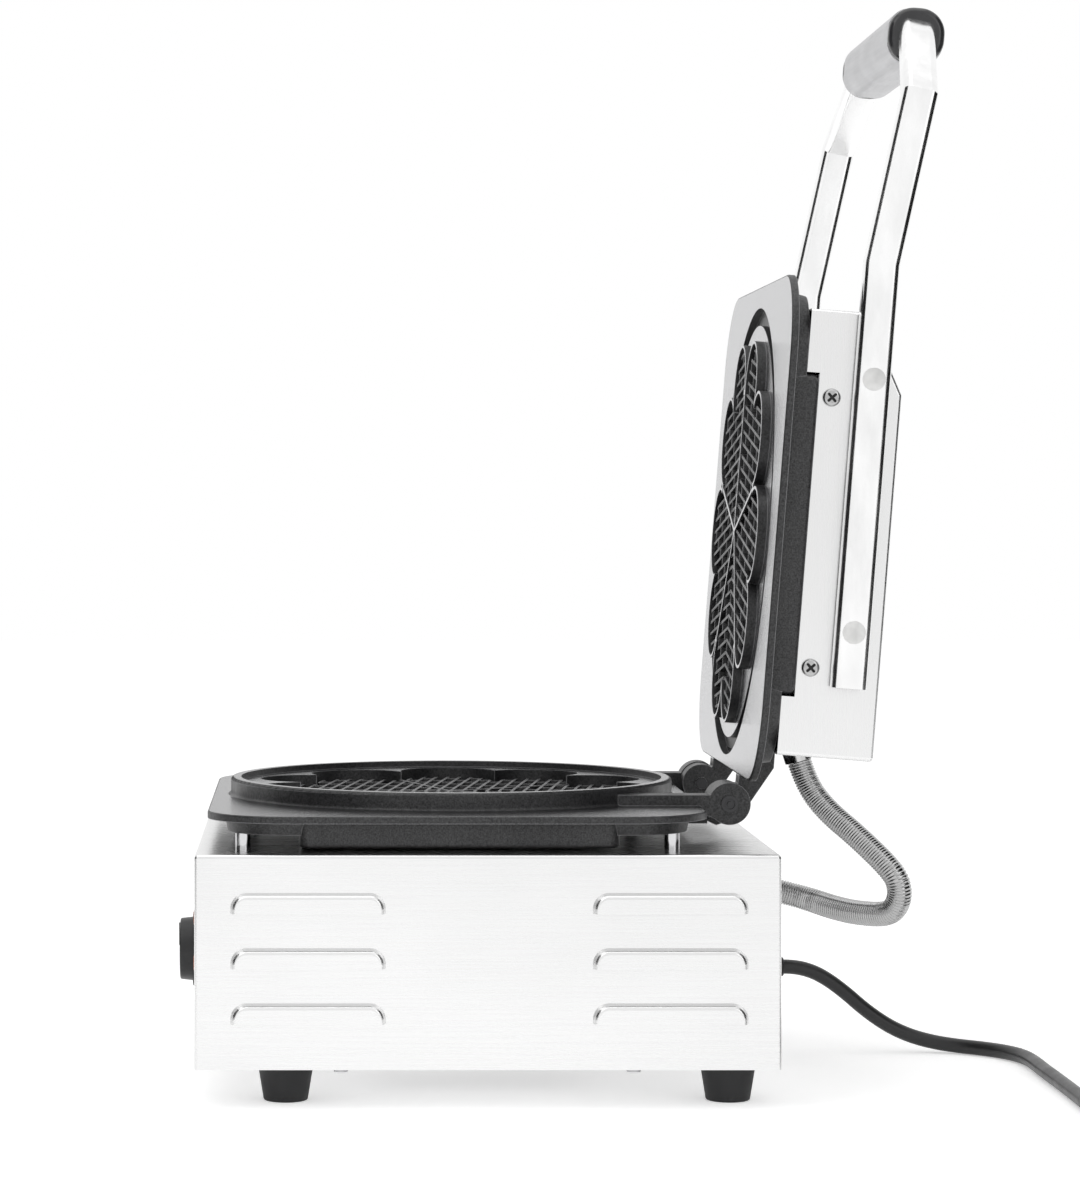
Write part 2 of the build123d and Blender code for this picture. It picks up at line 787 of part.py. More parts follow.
# Angle brackets inside the cover, screwed down to the skirt of the upper plate
bracket_thickness = 3.0
bracket_rear = 68.0
bracket_front = 232.0
bracket_foot = 13.0
bracket_height = 52.0
bracket_outer = cover_half_width - sheet
with BuildPart() as lid_brackets:
    for side in (-1, 1):
        with BuildSketch(lid_side(side * bracket_outer)):
            Polygon(
                (bracket_rear, skirt_depth),
                (skirt_front, skirt_depth),
                (bracket_front, skirt_depth + 4),
                (bracket_front, bracket_height - 8),
                (bracket_front - 8, bracket_height),
                (bracket_rear, bracket_height),
                align=None,
            )
            with Locations(*cover_screw_spots):
                Circle(screw_radius + 0.02, mode=Mode.SUBTRACT)
            with Locations(*arm_bolt_spots):
                Circle(arm_bolt_radius + 0.02, mode=Mode.SUBTRACT)
        extrude(amount=side * bracket_thickness)
        with BuildSketch(lid_side(side * (bracket_outer - bracket_thickness))):
            Polygon(
                (bracket_rear, skirt_depth),
                (skirt_front, skirt_depth),
                (skirt_front, skirt_depth + bracket_thickness),
                (bracket_rear, skirt_depth + bracket_thickness),
                align=None,
            )
        extrude(amount=side * bracket_foot)
save(lid_brackets.part, "lid_brackets")


def side_studs(x, spots, radius, reach):
    """Round studs through the side of the lid at x; a positive reach runs outwards."""
    side = 1 if x > 0 else -1
    with BuildSketch(lid_side(x)) as studs:
        with Locations(*spots):
            Circle(radius)
    extrude(studs.sketch, amount=-side * reach)


# Pan-head screws that hold the cover to the brackets, each with a cross recess
cross_length = 6.0
cross_width = 1.4
with BuildPart() as cover_screws:
    for side in (-1, 1):
        x = side * cover_half_width
        side_studs(x, cover_screw_spots, screw_head_radius, screw_head)
        side_studs(x, cover_screw_spots, screw_radius, -(sheet + bracket_thickness + 3))
    heads = faces().filter_by(Plane.YZ).sort_by(Axis.X)
    fillet(heads[:2].edges() + heads[-2:].edges(), 2.0)
    for side in (-1, 1):
        with BuildSketch(lid_side(side * (cover_half_width + screw_head))):
            for turn in (45, 135):
                with Locations(*[Location((*spot, 0), (0, 0, turn)) for spot in cover_screw_spots]):
                    SlotOverall(cross_length, cross_width)
        extrude(amount=side * 1.4, mode=Mode.SUBTRACT)
save(cover_screws.part, "cover_screws")

# Handle arms: polished tube from the cover's sides, bent once and mitred in to the grip
arm_x = cover_half_width + arm_thickness / 2
grip_end = grip_length / 2 + grip_cap_length
arm_tip_along = grip_along + 0.6


def arm_tube(side, section, corner):
    """Solid of one handle arm's outline or bore, swept along its centre line."""
    mitre = lid_point(side * arm_x, arm_mitre, arm_mitre_level)
    tip = lid_point(side * grip_end, arm_tip_along, grip_level - 0.4)
    points = [
        lid_point(side * arm_x, arm_rear, arm_level),
        lid_point(side * arm_x, arm_bend, arm_level),
        mitre,
        tip + (tip - mitre) * 0.2,
    ]
    with BuildLine() as path:
        Polyline(*points)
    with BuildPart() as tube:
        with BuildSketch(Plane(origin=points[0], x_dir=(1, 0, 0), z_dir=along)):
            RectangleRounded(*section, corner)
        sweep(path=path.line, transition=Transition.RIGHT)
    return tube.part


def handle_arm(side):
    """One hollow arm, drilled for its bolts and cut off flat against the grip's cap."""
    outer = arm_tube(side, (arm_thickness, arm_height), arm_corner)
    bore = arm_tube(side, (arm_thickness - 2 * arm_wall, arm_height - 2 * arm_wall), arm_corner - arm_wall)
    with BuildPart() as arm:
        add(outer)
        add(bore, mode=Mode.SUBTRACT)
        with BuildSketch(lid_side(0)):
            with Locations((grip_along, grip_level)):
                Rectangle(4 * grip_half, 4 * grip_half)
        extrude(amount=grip_end, both=True, mode=Mode.SUBTRACT)
        side_holes = (
            (side * (arm_x + arm_thickness / 2), arm_plug_radius),
            (side * arm_x, arm_bolt_radius + hole_gap),
        )
        for x, radius in side_holes:
            with BuildSketch(lid_side(x)):
                with Locations(*arm_bolt_spots):
                    Circle(radius)
            extrude(amount=side * arm_thickness / 2, mode=Mode.SUBTRACT)
    return arm.part


right_arm = handle_arm(1)
left_arm = handle_arm(-1)
save(right_arm, "right_handle_arm")
save(left_arm, "left_handle_arm")

# Bolts inside the arms and the grey plugs that hide them
bolt_head_radius = 5.2
bolt_head = 4.0
plug_depth = 3.0
plug_crown = 0.6
with BuildPart() as arm_bolts:
    for side in (-1, 1):
        x = side * (cover_half_width + arm_wall)
        side_studs(x, arm_bolt_spots, bolt_head_radius, bolt_head)
        side_studs(x, arm_bolt_spots, arm_bolt_radius, -(arm_wall + sheet + bracket_thickness + 4))
save(arm_bolts.part, "arm_bolts")
with BuildPart() as arm_plugs:
    for side in (-1, 1):
        x = side * (cover_half_width + arm_thickness - plug_depth)
        side_studs(x, arm_bolt_spots, arm_plug_radius - 0.02, plug_depth + plug_crown)
save(arm_plugs.part, "arm_plugs")

# Grip sleeve, its end caps and the rod that ties both arms together
tie_radius = 5.0
with BuildPart() as handle_grip:
    with BuildSketch(lid_side(0)):
        with Locations((grip_along, grip_level)):
            RectangleRounded(2 * grip_half, 2 * grip_half, grip_corner)
            Circle(tie_radius + 0.05, mode=Mode.SUBTRACT)
    extrude(amount=grip_length / 2, both=True)
save(handle_grip.part, "handle_grip")
with BuildPart() as grip_caps:
    for side in (-1, 1):
        with BuildSketch(lid_side(side * grip_length / 2)):
            with Locations((grip_along, grip_level)):
                RectangleRounded(2 * cap_half, 2 * cap_half, cap_corner)
        extrude(amount=-side * grip_cap_length)
    fillet(faces().filter_by(Plane.YZ).sort_by(Axis.X)[0].edges(), 3.6)
    fillet(faces().filter_by(Plane.YZ).sort_by(Axis.X)[-1].edges(), 3.6)
    with BuildSketch(lid_side(0)):
        with Locations((grip_along, grip_level)):
            Circle(tie_radius + 0.05)
    extrude(amount=grip_end, both=True, mode=Mode.SUBTRACT)
save(grip_caps.part, "grip_caps")
with BuildPart() as grip_tie_rod:
    with BuildSketch(lid_side(0)):
        with Locations((grip_along, grip_level)):
            Circle(tie_radius)
    extrude(amount=grip_end, both=True)
save(grip_tie_rod.part, "grip_tie_rod")

# Thermostat behind the front panel, with its mounting screws and sensing bulb
thermostat_radius = 17.0
thermostat_length = 24.0
thermostat_y = base_front + sheet
shaft_depth = 9.0
front_plane = Plane(origin=(0, base_front, knob_z), x_dir=(1, 0, 0), z_dir=(0, -1, 0))
with BuildPart() as thermostat_body:
    with BuildSketch(front_plane.offset(-sheet)):
        Circle(thermostat_radius)
    extrude(amount=-thermostat_length)
    with BuildSketch(front_plane.offset(-sheet)):
        Circle(shaft_radius + 1)
    extrude(amount=sheet)
    with BuildSketch(front_plane):
        Circle(shaft_radius + shaft_clearance)
    extrude(amount=-(sheet + shaft_depth + 1), mode=Mode.SUBTRACT)
save(thermostat_body.part, "thermostat_body")

bulb_radius = 2.0
bulb_length = 70.0
capillary_radius = 0.8
bulb_z = lower_face_z - lower_floor_depth - casting_floor - bulb_radius - seat_gap
bulb_y = hinge_y - field_along
capillary_bend = 8.0
with BuildPart() as thermostat_bulb:
    with BuildSketch(Plane(origin=(-bulb_length / 2, bulb_y, bulb_z), z_dir=(1, 0, 0))):
        Circle(bulb_radius)
    extrude(amount=bulb_length / 2 - capillary_bend)
    start = (-capillary_bend, bulb_y, bulb_z)
    thermostat_back = thermostat_y + thermostat_length
    with BuildLine() as capillary:
        FilletPolyline(
            start,
            (0, bulb_y, bulb_z),
            (0, bulb_y, knob_z + 20),
            (0, thermostat_back + 20, knob_z),
            (0, thermostat_back, knob_z),
            radius=[capillary_bend - 1, 20, 8],
        )
    with BuildSketch(Plane(origin=start, z_dir=(1, 0, 0))):
        Circle(capillary_radius)
    sweep(path=capillary.wire())
save(thermostat_bulb.part, "thermostat_bulb")

# Knob with its skirt, tapered hand part and raised pointer
knob_skirt = 4.6
knob_hand_radius = 17.2
pointer_width = 3.0
pointer_length = 12.0
pointer_rise = 0.8
knob_face = knob_length - pointer_rise
knob_back = front_plane.offset(knob_gap)
with BuildPart() as thermostat_knob:
    with BuildSketch(knob_back):
        Circle(knob_radius)
    extrude(amount=knob_skirt)
    with BuildSketch(knob_back.offset(knob_skirt)):
        Circle(knob_hand_radius)
    extrude(amount=knob_face - knob_skirt, taper=6)
    fillet(faces().sort_by(Axis.Y)[0].edges(), 0.9)
    with BuildSketch(knob_back.offset(knob_face)):
        with Locations((0, 2 + pointer_length / 2)):
            Rectangle(pointer_width, pointer_length)
    extrude(amount=pointer_rise)
    with BuildSketch(knob_back):
        Circle(shaft_radius + 0.02)
    extrude(amount=knob_length - 3, mode=Mode.SUBTRACT)
save(thermostat_knob.part, "thermostat_knob")
with BuildPart() as thermostat_shaft:
    with BuildSketch(knob_back.offset(knob_length - 3.2)):
        Circle(shaft_radius)
    extrude(amount=-(knob_length - 3.2 + knob_gap + sheet + shaft_depth))
save(thermostat_shaft.part, "thermostat_shaft")

# Rocker switch: its body snapped into the front panel, and the rocker on its axle
bezel_edge = 2.5
bezel_depth = 2.0
switch_depth = 26.0
switch_wall = 2.0
rocker_gap = 0.4
rocker_pivot = 5.0
rocker_radius = 7.0
rocker_half_height = 7.4
rocker_throw = 16.0
axle_radius = 1.0
switch_plane = Plane(origin=(switch_x, base_front, switch_level), x_dir=(1, 0, 0), z_dir=(0, -1, 0))
rocker_width = switch_width - 2 * switch_wall - 2 * rocker_gap
with BuildPart() as switch_body:
    with BuildSketch(switch_plane):
        RectangleRounded(switch_width + 2 * bezel_edge, switch_height + 2 * bezel_edge, 1.5)
    extrude(amount=bezel_depth)
    with BuildSketch(switch_plane):
        Rectangle(switch_width - 2 * hole_gap, switch_height - 2 * hole_gap)
    extrude(amount=-switch_depth)
    with BuildSketch(switch_plane.offset(bezel_depth)):
        Rectangle(rocker_width + 2 * rocker_gap, switch_height - 2 * switch_wall)
    extrude(amount=-(bezel_depth + rocker_pivot + 3), mode=Mode.SUBTRACT)
    with Locations(Location((switch_x, base_front + rocker_pivot, switch_level), (0, 90, 0))):
        Cylinder(axle_radius + shaft_clearance, rocker_width + 2 * rocker_gap + 2, mode=Mode.SUBTRACT)
save(switch_body.part, "switch_body")

tilt = radians(rocker_throw / 2)
rocker_plane = Plane(
    origin=(switch_x, base_front + rocker_pivot, switch_level),
    x_dir=(0, cos(tilt), -sin(tilt)),
    z_dir=(1, 0, 0),
)
with BuildPart() as switch_rocker:
    with BuildSketch(rocker_plane):
        Polygon(
            (0, rocker_half_height - 1),
            (-rocker_radius, rocker_half_height),
            (-rocker_radius + 1.6, 0),
            (-rocker_radius, -rocker_half_height),
            (0, -rocker_half_height + 1),
            align=None,
        )
    extrude(amount=rocker_width / 2, both=True)
    with BuildSketch(rocker_plane):
        Circle(axle_radius)
    extrude(amount=rocker_width / 2 + rocker_gap + 0.9, both=True)
save(switch_rocker.part, "switch_rocker")

# Two pilot lamps with domed lenses
lamp_flange = 1.4
lamp_length = 20.0
with BuildPart() as pilot_lamps:
    for x, z in lamp_spots:
        lamp_plane = Plane(origin=(x, base_front, z), x_dir=(1, 0, 0), z_dir=(0, -1, 0))
        with BuildSketch(lamp_plane):
            Circle(lamp_radius + lamp_flange)
        extrude(amount=lamp_flange)
        with BuildSketch(lamp_plane.offset(lamp_flange)):
            Circle(lamp_radius)
        extrude(amount=2.0, taper=25)
        with BuildSketch(lamp_plane):
            Circle(lamp_radius)
        extrude(amount=-lamp_length)
    fillet(faces().filter_by(Plane.XZ).group_by(Axis.Y)[0].edges(), 0.8)
save(pilot_lamps.part, "pilot_lamps")

# Terminal block on the base floor near the lead's gland
terminal_size = (44.0, 18.0, 16.0)
terminal_count = 4
terminal_pitch = 10.0
with BuildPart() as terminal_block:
    with BuildSketch(Plane.XY.offset(base_bottom + sheet)):
        with Locations((gland_x, base_back - 40)):
            RectangleRounded(terminal_size[0], terminal_size[1], 2)
    extrude(amount=terminal_size[2])
    with BuildSketch(Plane.XY.offset(base_bottom + sheet + terminal_size[2])):
        with Locations((gland_x, base_back - 40)):
            with GridLocations(terminal_pitch, 9, terminal_count, 2):
                Circle(2.2)
    extrude(amount=-9, mode=Mode.SUBTRACT)
save(terminal_block.part, "terminal_block")

# Strain relief of the lead, through the back panel
gland_flange = 2.5
gland_flange_radius = 9.5
gland_length = 25.0
gland_tip_radius = 5.2
gland_inner = 8.0
gland_plane = Plane(origin=(gland_x, base_back, gland_z), x_dir=(1, 0, 0), z_dir=(0, 1, 0))
with BuildPart() as cord_gland:
    with BuildSketch(gland_plane):
        Circle(gland_flange_radius)
    extrude(amount=gland_flange)
    with BuildSketch(gland_plane.offset(gland_flange)):
        Circle(gland_neck)
    with BuildSketch(gland_plane.offset(gland_length)):
        Circle(gland_tip_radius)
    loft()
    with BuildSketch(gland_plane):
        Circle(gland_neck)
    extrude(amount=-gland_inner)
    for ring in range(4):
        with BuildSketch(gland_plane.offset(gland_flange + 4 + 4.5 * ring)):
            Circle(gland_neck + 1)
            Circle(gland_tip_radius - 0.7, mode=Mode.SUBTRACT)
        extrude(amount=1.6, mode=Mode.SUBTRACT)
    fillet(faces().sort_by(Axis.Y)[-1].edges(), 0.8)
save(cord_gland.part, "cord_gland")

# Mains lead: its free run from the gland to the coil, lying on the table
floor_z = cord_radius
lead_points = [
    (gland_x, base_back + gland_length, gland_z),
    (-40.0, base_back + 31.0, gland_z),
    (-40.0, base_back + 40.7, 45.2),
    (-40.0, base_back + 49.7, 40.4),
    (-40.0, base_back + 59.3, 33.2),
    (-40.0, base_back + 70.6, 23.3),
    (-40.0, base_back + 82.9, 14.8),
    (-40.1, base_back + 94.7, 9.3),
    (-39.3, base_back + 107.2, 5.9),
    (-35.8, base_back + 119.6, 4.3),
    (-28.6, base_back + 131.6, floor_z),
    (-18.3, base_back + 141.2, floor_z),
    (-6.0, base_back + 147.8, floor_z),
    (7.6, base_back + 151.1, floor_z),
    (23.6, base_back + 152.0, floor_z),
    (47.6, base_back + 151.8, floor_z),
    (84.0, base_back + 152.4, floor_z),
    (128.0, base_back + 152.7, floor_z),
    (152.0, base_back + 152.5, floor_z),
]


def corner_radii(points):
    """Radius of the arc at each corner, as large as its two runs allow."""
    radii = []
    for before, corner, after in zip(points, points[1:], points[2:]):
        first = Vector(corner) - Vector(before)
        second = Vector(after) - Vector(corner)
        turn = radians(first.get_angle(second))
        radii.append(0.45 * min(first.length, second.length) / tan(turn / 2))
    return radii


def biarc(start, start_way, end, end_way):
    """Two arcs that meet smoothly, from one point and direction to another."""
    span = end - start
    ways = start_way + end_way
    across = span.dot(ways)
    spread = 2 * (1 - start_way.dot(end_way))
    reach = (sqrt(across**2 + spread * span.dot(span)) - across) / spread
    joint = (start + start_way * reach + end - end_way * reach) / 2
    joint_way = (end - end_way * reach - start - start_way * reach).normalized()
    return [
        Edge.make_tangent_arc(start, start_way, joint),
        Edge.make_tangent_arc(joint, joint_way, end),
    ]


# Stored coil of the lead: two layers, winding in, climbing half a turn and winding out again
coil_turn_pitch = 8.9
coil_layer = 8.7
coil_outer = 53.0
coil_turns = 2.0
coil_climb = 0.5
coil_total = 2 * coil_turns + coil_climb
coil_x = 176.0
coil_y = base_back + 152.5 + coil_outer
coil_end_run = 2 * cord_radius


def coil_point(turn):
    """Point of the coil's centre line after so many turns from its outer end."""
    climb = min(max((turn - coil_turns) / coil_climb, 0.0), 1.0)
    radius = coil_outer - coil_turn_pitch * min(turn, coil_total - turn)
    angle = 2 * pi * turn - pi / 2
    height = floor_z + coil_layer * (1 - cos(pi * climb)) / 2
    return Vector(coil_x + radius * cos(angle), coil_y + radius * sin(angle), height)


def coil_way(turn):
    """Direction of the coil's centre line at so many turns."""
    step = 0.001
    return (coil_point(turn + step) - coil_point(turn - step)).normalized()


coil_stops = [step / 4 for step in range(int(4 * coil_total) + 1)]
coil_ways = [coil_way(turn) for turn in coil_stops]
coil_ways[0] = Vector(1, 0, 0)
coil_ways[-1] = Vector(-1, 0, 0)
coil_first = coil_point(0) - coil_ways[0] * coil_end_run
coil_last = coil_point(coil_total) + coil_ways[-1] * coil_end_run
coil_edges = [Edge.make_line(coil_first, coil_point(0))]
for index in range(len(coil_stops) - 1):
    coil_edges += biarc(
        coil_point(coil_stops[index]),
        coil_ways[index],
        coil_point(coil_stops[index + 1]),
        coil_ways[index + 1],
    )
coil_edges.append(Edge.make_line(coil_point(coil_total), coil_last))
coil_path = Wire(coil_edges)
with BuildPart() as cord_coil:
    with BuildSketch(Plane(origin=coil_first, z_dir=coil_ways[0])):
        Circle(cord_radius)
    sweep(path=coil_path)
save(cord_coil.part, "cord_coil")

# Least gap of the coil to itself, measured on points along its centre line
gap_samples = [coil_point(coil_total * step / 900) for step in range(901)]
apart = 60
least = min(
    (gap_samples[low] - gap_samples[high]).length
    for low in range(0, 901 - apart, 3)
    for high in range(low + apart, 901)
)
print("least gap of the coil to itself", round(least - 2 * cord_radius, 2))
print("coil length", round(coil_path.length, 1))

lead_points.append(tuple(coil_first))
lead_radii = corner_radii(lead_points)
print("lead radii", [round(radius, 1) for radius in lead_radii])
with BuildLine() as lead_path:
    FilletPolyline(*lead_points, radius=lead_radii)
lead_way = Vector(lead_points[1]) - Vector(lead_points[0])
with BuildPart() as power_cord:
    with BuildSketch(Plane(origin=lead_points[0], z_dir=lead_way)):
        Circle(cord_radius)
    sweep(path=lead_path.wire())
lead_length = lead_path.wire().length
print("lead length", round(lead_length, 1), "volume over section times length",
      round(power_cord.part.volume / (pi * cord_radius**2 * lead_length), 4))
save(power_cord.part, "power_cord")

# Moulded earthed plug at the lead's end, lying beside the coil
plug_radius = 18.0
plug_length = 34.0
plug_neck_length = 24.0
plug_neck_radius = 6.5
plug_z = coil_last.Z
plug_lift = plug_radius - plug_z
pin_length = 19.0
plug_pin_radius = 2.4
plug_pin_spacing = 19.0
plug_plane = Plane(origin=coil_last, x_dir=(0, 1, 0), z_dir=(-1, 0, 0))
plug_face = Plane(
    origin=(coil_last.X - plug_neck_length, coil_last.Y, plug_radius), x_dir=(0, 1, 0), z_dir=(-1, 0, 0)
)
with BuildPart() as plug_body:
    with BuildSketch(plug_plane):
        Circle(cord_radius + 1)
    with BuildSketch(plug_face):
        Circle(plug_neck_radius + 3)
    loft()
    with BuildSketch(plug_face):
        Circle(plug_radius - 3)
    with BuildSketch(plug_face.offset(plug_length / 2)):
        Circle(plug_radius - 0.2)
    loft()
    with BuildSketch(plug_face.offset(plug_length / 2)):
        Circle(plug_radius - 0.2)
    extrude(amount=plug_length / 2)
    with BuildSketch(plug_face.offset(plug_length)):
        with Locations((0, plug_pin_spacing / 2), (0, -plug_pin_spacing / 2)):
            Circle(plug_pin_radius + 0.02)
    extrude(amount=-10, mode=Mode.SUBTRACT)
save(plug_body.part, "plug_body")
with BuildPart() as plug_pins:
    with BuildSketch(plug_face.offset(plug_length + pin_length)):
        with Locations((0, plug_pin_spacing / 2), (0, -plug_pin_spacing / 2)):
            Circle(plug_pin_radius)
    extrude(amount=-(pin_length + 9.8))
    fillet(faces().sort_by(Axis.X)[:2].edges(), 1.2)
save(plug_pins.part, "plug_pins")

# Angled conduit connectors at the base and at the lid
ferrule_length = 8.0
fitting_ring = 3.5
fitting_turn = 3.0
fitting_nut = 5.0
lid_conduit_tilt = 22.0


def conduit_fitting(origin, outward, exit_way):
    """Collar outside the sheet, nut behind it and a ferrule leaning towards the conduit."""
    plane = Plane(origin=origin, x_dir=(1, 0, 0), z_dir=outward)
    ferrule = Plane(origin=origin + outward * fitting_turn, x_dir=(1, 0, 0), z_dir=exit_way)
    with BuildPart() as fitting:
        with BuildSketch(plane):
            Circle(fitting_radius + 2)
        extrude(amount=fitting_ring)
        with BuildSketch(ferrule):
            Circle(fitting_radius + 0.6)
        extrude(amount=ferrule_length)
        with BuildSketch(plane):
            Circle(fitting_radius - 1 - hole_gap)
        extrude(amount=-(fitting_nut + sheet))
        with BuildSketch(plane.offset(-sheet)):
            RegularPolygon(fitting_radius + 2, 6)
        extrude(amount=-fitting_nut)
        with BuildSketch(ferrule):
            Circle(conduit_bore)
        extrude(amount=ferrule_length, mode=Mode.SUBTRACT)
        with BuildSketch(plane.offset(fitting_turn)):
            Circle(conduit_bore)
        extrude(amount=-(fitting_turn + sheet + fitting_nut), mode=Mode.SUBTRACT)
    return fitting.part


back_way = Vector(0, 1, 0)
base_way = Vector(0, cos(radians(conduit_slope)), -sin(radians(conduit_slope)))
base_exit = Vector(conduit_x, base_back, conduit_z)
save(conduit_fitting(base_exit, back_way, base_way), "base_conduit_fitting")
lid_lean = radians(lid_conduit_tilt)
lid_way = above * sin(lid_lean) - along * cos(lid_lean)
lid_exit = lid_point(lid_conduit_x, cover_rear, lid_conduit_level)
save(conduit_fitting(lid_exit, along * -1, lid_way), "lid_conduit_fitting")

# Ribbed conduit: its centre line, and ribs stepped along it
conduit_start = base_exit + back_way * fitting_turn + base_way * ferrule_length
conduit_end = lid_exit - along * fitting_turn + lid_way * ferrule_length
conduit_points = [
    conduit_start,
    conduit_start + base_way * (2 * conduit_radius),
    Vector(-25.6, base_back + 39.0, 85.9),
    Vector(-15.0, base_back + 49.1, 83.1),
    Vector(-2.0, base_back + 59.5, 81.6),
    Vector(14.0, base_back + 74.0, 82.2),
    Vector(21.3, base_back + 78.6, 87.8),
    Vector(25.9, base_back + 79.5, 96.9),
    Vector(26.2, base_back + 76.2, 106.4),
    Vector(13.7, base_back + 58.4, 124.4),
    Vector(1.2, base_back + 43.1, 137.5),
    conduit_end + lid_way * (2 * conduit_radius),
    conduit_end,
]
conduit_radii = corner_radii(conduit_points)
print("conduit radii", [round(radius, 1) for radius in conduit_radii])
with BuildLine() as conduit_line:
    FilletPolyline(*conduit_points, radius=conduit_radii)
conduit_path = conduit_line.wire()
conduit_length = conduit_path.length
rib_count = int((conduit_length - 4 * conduit_radius) / conduit_rib_pitch)
rib_start = (conduit_length - rib_count * conduit_rib_pitch) / 2
print("conduit length", round(conduit_length, 1), "ribs", rib_count)


def steady_plane(distance):
    """Plane square to the conduit whose X axis stays as near the world's X as it can."""
    share = min(max(distance / conduit_length, 0.0), 1.0)
    way = conduit_path % share
    side = Vector(0, -1, 0).cross(way) if abs(way.X) > 0.9 else Vector(1, 0, 0) - way * way.X
    return Plane(origin=conduit_path @ share, x_dir=side, z_dir=way)


valley = conduit_radius - conduit_rib_depth
sections = [(0.0, valley), (rib_start, valley)]
for rib in range(rib_count):
    root = rib_start + rib * conduit_rib_pitch
    sections += [
        (root + 0.25 * conduit_rib_pitch, conduit_radius),
        (root + 0.6 * conduit_rib_pitch, conduit_radius),
        (root + 0.85 * conduit_rib_pitch, valley),
        (root + conduit_rib_pitch, valley),
    ]
sections.append((conduit_length, valley))
with BuildPart() as conduit:
    for distance, radius in sections:
        with BuildSketch(steady_plane(distance)):
            Circle(radius)
    loft(ruled=True)
    with BuildSketch(steady_plane(0)):
        Circle(conduit_bore)
    sweep(path=conduit_path, mode=Mode.SUBTRACT)
print("conduit volume over section times length",
      round(conduit.part.volume / (pi * (conduit_radius**2 - conduit_bore**2) * conduit_length), 3))
save(conduit.part, "conduit")
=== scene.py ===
# Heart waffle maker, lid open, seen from its side on a white table.
import json
from math import atan2, cos, pi, radians, sin, tan

import bmesh
import bpy
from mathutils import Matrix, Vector


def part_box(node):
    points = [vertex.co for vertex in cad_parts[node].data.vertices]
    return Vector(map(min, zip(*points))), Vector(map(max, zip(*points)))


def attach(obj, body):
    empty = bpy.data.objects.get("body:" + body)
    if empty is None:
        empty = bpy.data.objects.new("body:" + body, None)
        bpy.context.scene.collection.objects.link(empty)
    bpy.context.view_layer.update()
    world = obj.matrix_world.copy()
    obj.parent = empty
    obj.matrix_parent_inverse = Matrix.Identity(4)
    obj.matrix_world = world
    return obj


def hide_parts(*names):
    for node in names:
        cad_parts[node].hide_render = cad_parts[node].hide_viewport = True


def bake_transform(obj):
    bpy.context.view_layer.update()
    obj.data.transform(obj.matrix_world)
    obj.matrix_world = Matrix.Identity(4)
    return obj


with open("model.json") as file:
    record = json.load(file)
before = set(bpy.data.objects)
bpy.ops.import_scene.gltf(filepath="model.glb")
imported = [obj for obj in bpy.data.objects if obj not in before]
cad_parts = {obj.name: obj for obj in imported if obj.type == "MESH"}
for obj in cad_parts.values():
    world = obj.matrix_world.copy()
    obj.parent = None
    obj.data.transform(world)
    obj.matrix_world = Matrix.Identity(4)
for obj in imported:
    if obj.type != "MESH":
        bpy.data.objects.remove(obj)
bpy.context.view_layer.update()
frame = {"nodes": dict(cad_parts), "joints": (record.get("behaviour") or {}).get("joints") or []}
nodes = frame["nodes"]

# Main places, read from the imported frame
base_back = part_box("base_shell")[1][1]
lid_joint = next(joint for joint in frame["joints"] if joint["name"] == "lid_hinge")
hinge_y, hinge_z = lid_joint["pos_m"][1:]

# Camera at the photograph's place, level with the lid and looking along -X
camera_distance = 1.989
camera_side = -0.12444
camera_height = 0.3056
camera_lens = 111.1
camera_shift = (0.1855, -0.0776)
camera_data = bpy.data.cameras.new("camera")
camera_data.lens = camera_lens
camera_data.sensor_width = 36
camera_data.shift_x, camera_data.shift_y = camera_shift
camera_data.clip_end = 20
camera = bpy.data.objects.new("camera", camera_data)
camera.location = (camera_distance, camera_side, camera_height)
camera.rotation_euler = (pi / 2, 0, pi / 2)
bpy.context.scene.collection.objects.link(camera)
bpy.context.scene.camera = camera


def link(name, data):
    """New object for some data, linked to the scene."""
    piece = bpy.data.objects.new(name, data)
    bpy.context.scene.collection.objects.link(piece)
    return piece


def spline_curve(name, points):
    """Smooth NURBS curve with these control points."""
    curve = bpy.data.curves.new(name, "CURVE")
    curve.dimensions = "3D"
    spline = curve.splines.new("NURBS")
    spline.points.add(len(points) - 1)
    for place, point in zip(spline.points, points):
        place.co = (*point, 1)
    spline.order_u = 3
    spline.use_endpoint_u = True
    spline.resolution_u = 8
    return curve


# Mains lead: the route from its strain relief to the coil, then the coil's turns
cord_radius = 0.004
lead_x = -0.040
lead_exit = (lead_x, base_back + 0.025, 0.0475)
lead_route = [
    lead_exit,
    (lead_x, base_back + 0.0310, 0.0475),
    (lead_x, base_back + 0.0407, 0.0452),
    (lead_x, base_back + 0.0497, 0.0404),
    (lead_x, base_back + 0.0593, 0.0332),
    (lead_x, base_back + 0.0706, 0.0233),
    (lead_x, base_back + 0.0829, 0.0148),
    (-0.0401, base_back + 0.0947, 0.0093),
    (-0.0393, base_back + 0.1072, 0.0059),
    (-0.0358, base_back + 0.1196, 0.0043),
    (-0.0286, base_back + 0.1316, cord_radius),
    (-0.0183, base_back + 0.1412, cord_radius),
    (-0.0060, base_back + 0.1478, cord_radius),
    (0.0076, base_back + 0.1511, cord_radius),
    (0.0236, base_back + 0.1520, cord_radius),
    (0.0476, base_back + 0.1518, cord_radius),
    (0.0840, base_back + 0.1524, cord_radius),
    (0.1280, base_back + 0.1527, cord_radius),
    (0.1520, base_back + 0.1525, cord_radius),
]
coil_outer = 0.053
coil_pitch = 0.0089
coil_layer = 0.0087
coil_turns = 2.0
coil_climb = 0.5
coil_x = 0.176
coil_y = base_back + 0.1525 + coil_outer
coil_total = 2 * coil_turns + coil_climb
coil_steps = 24


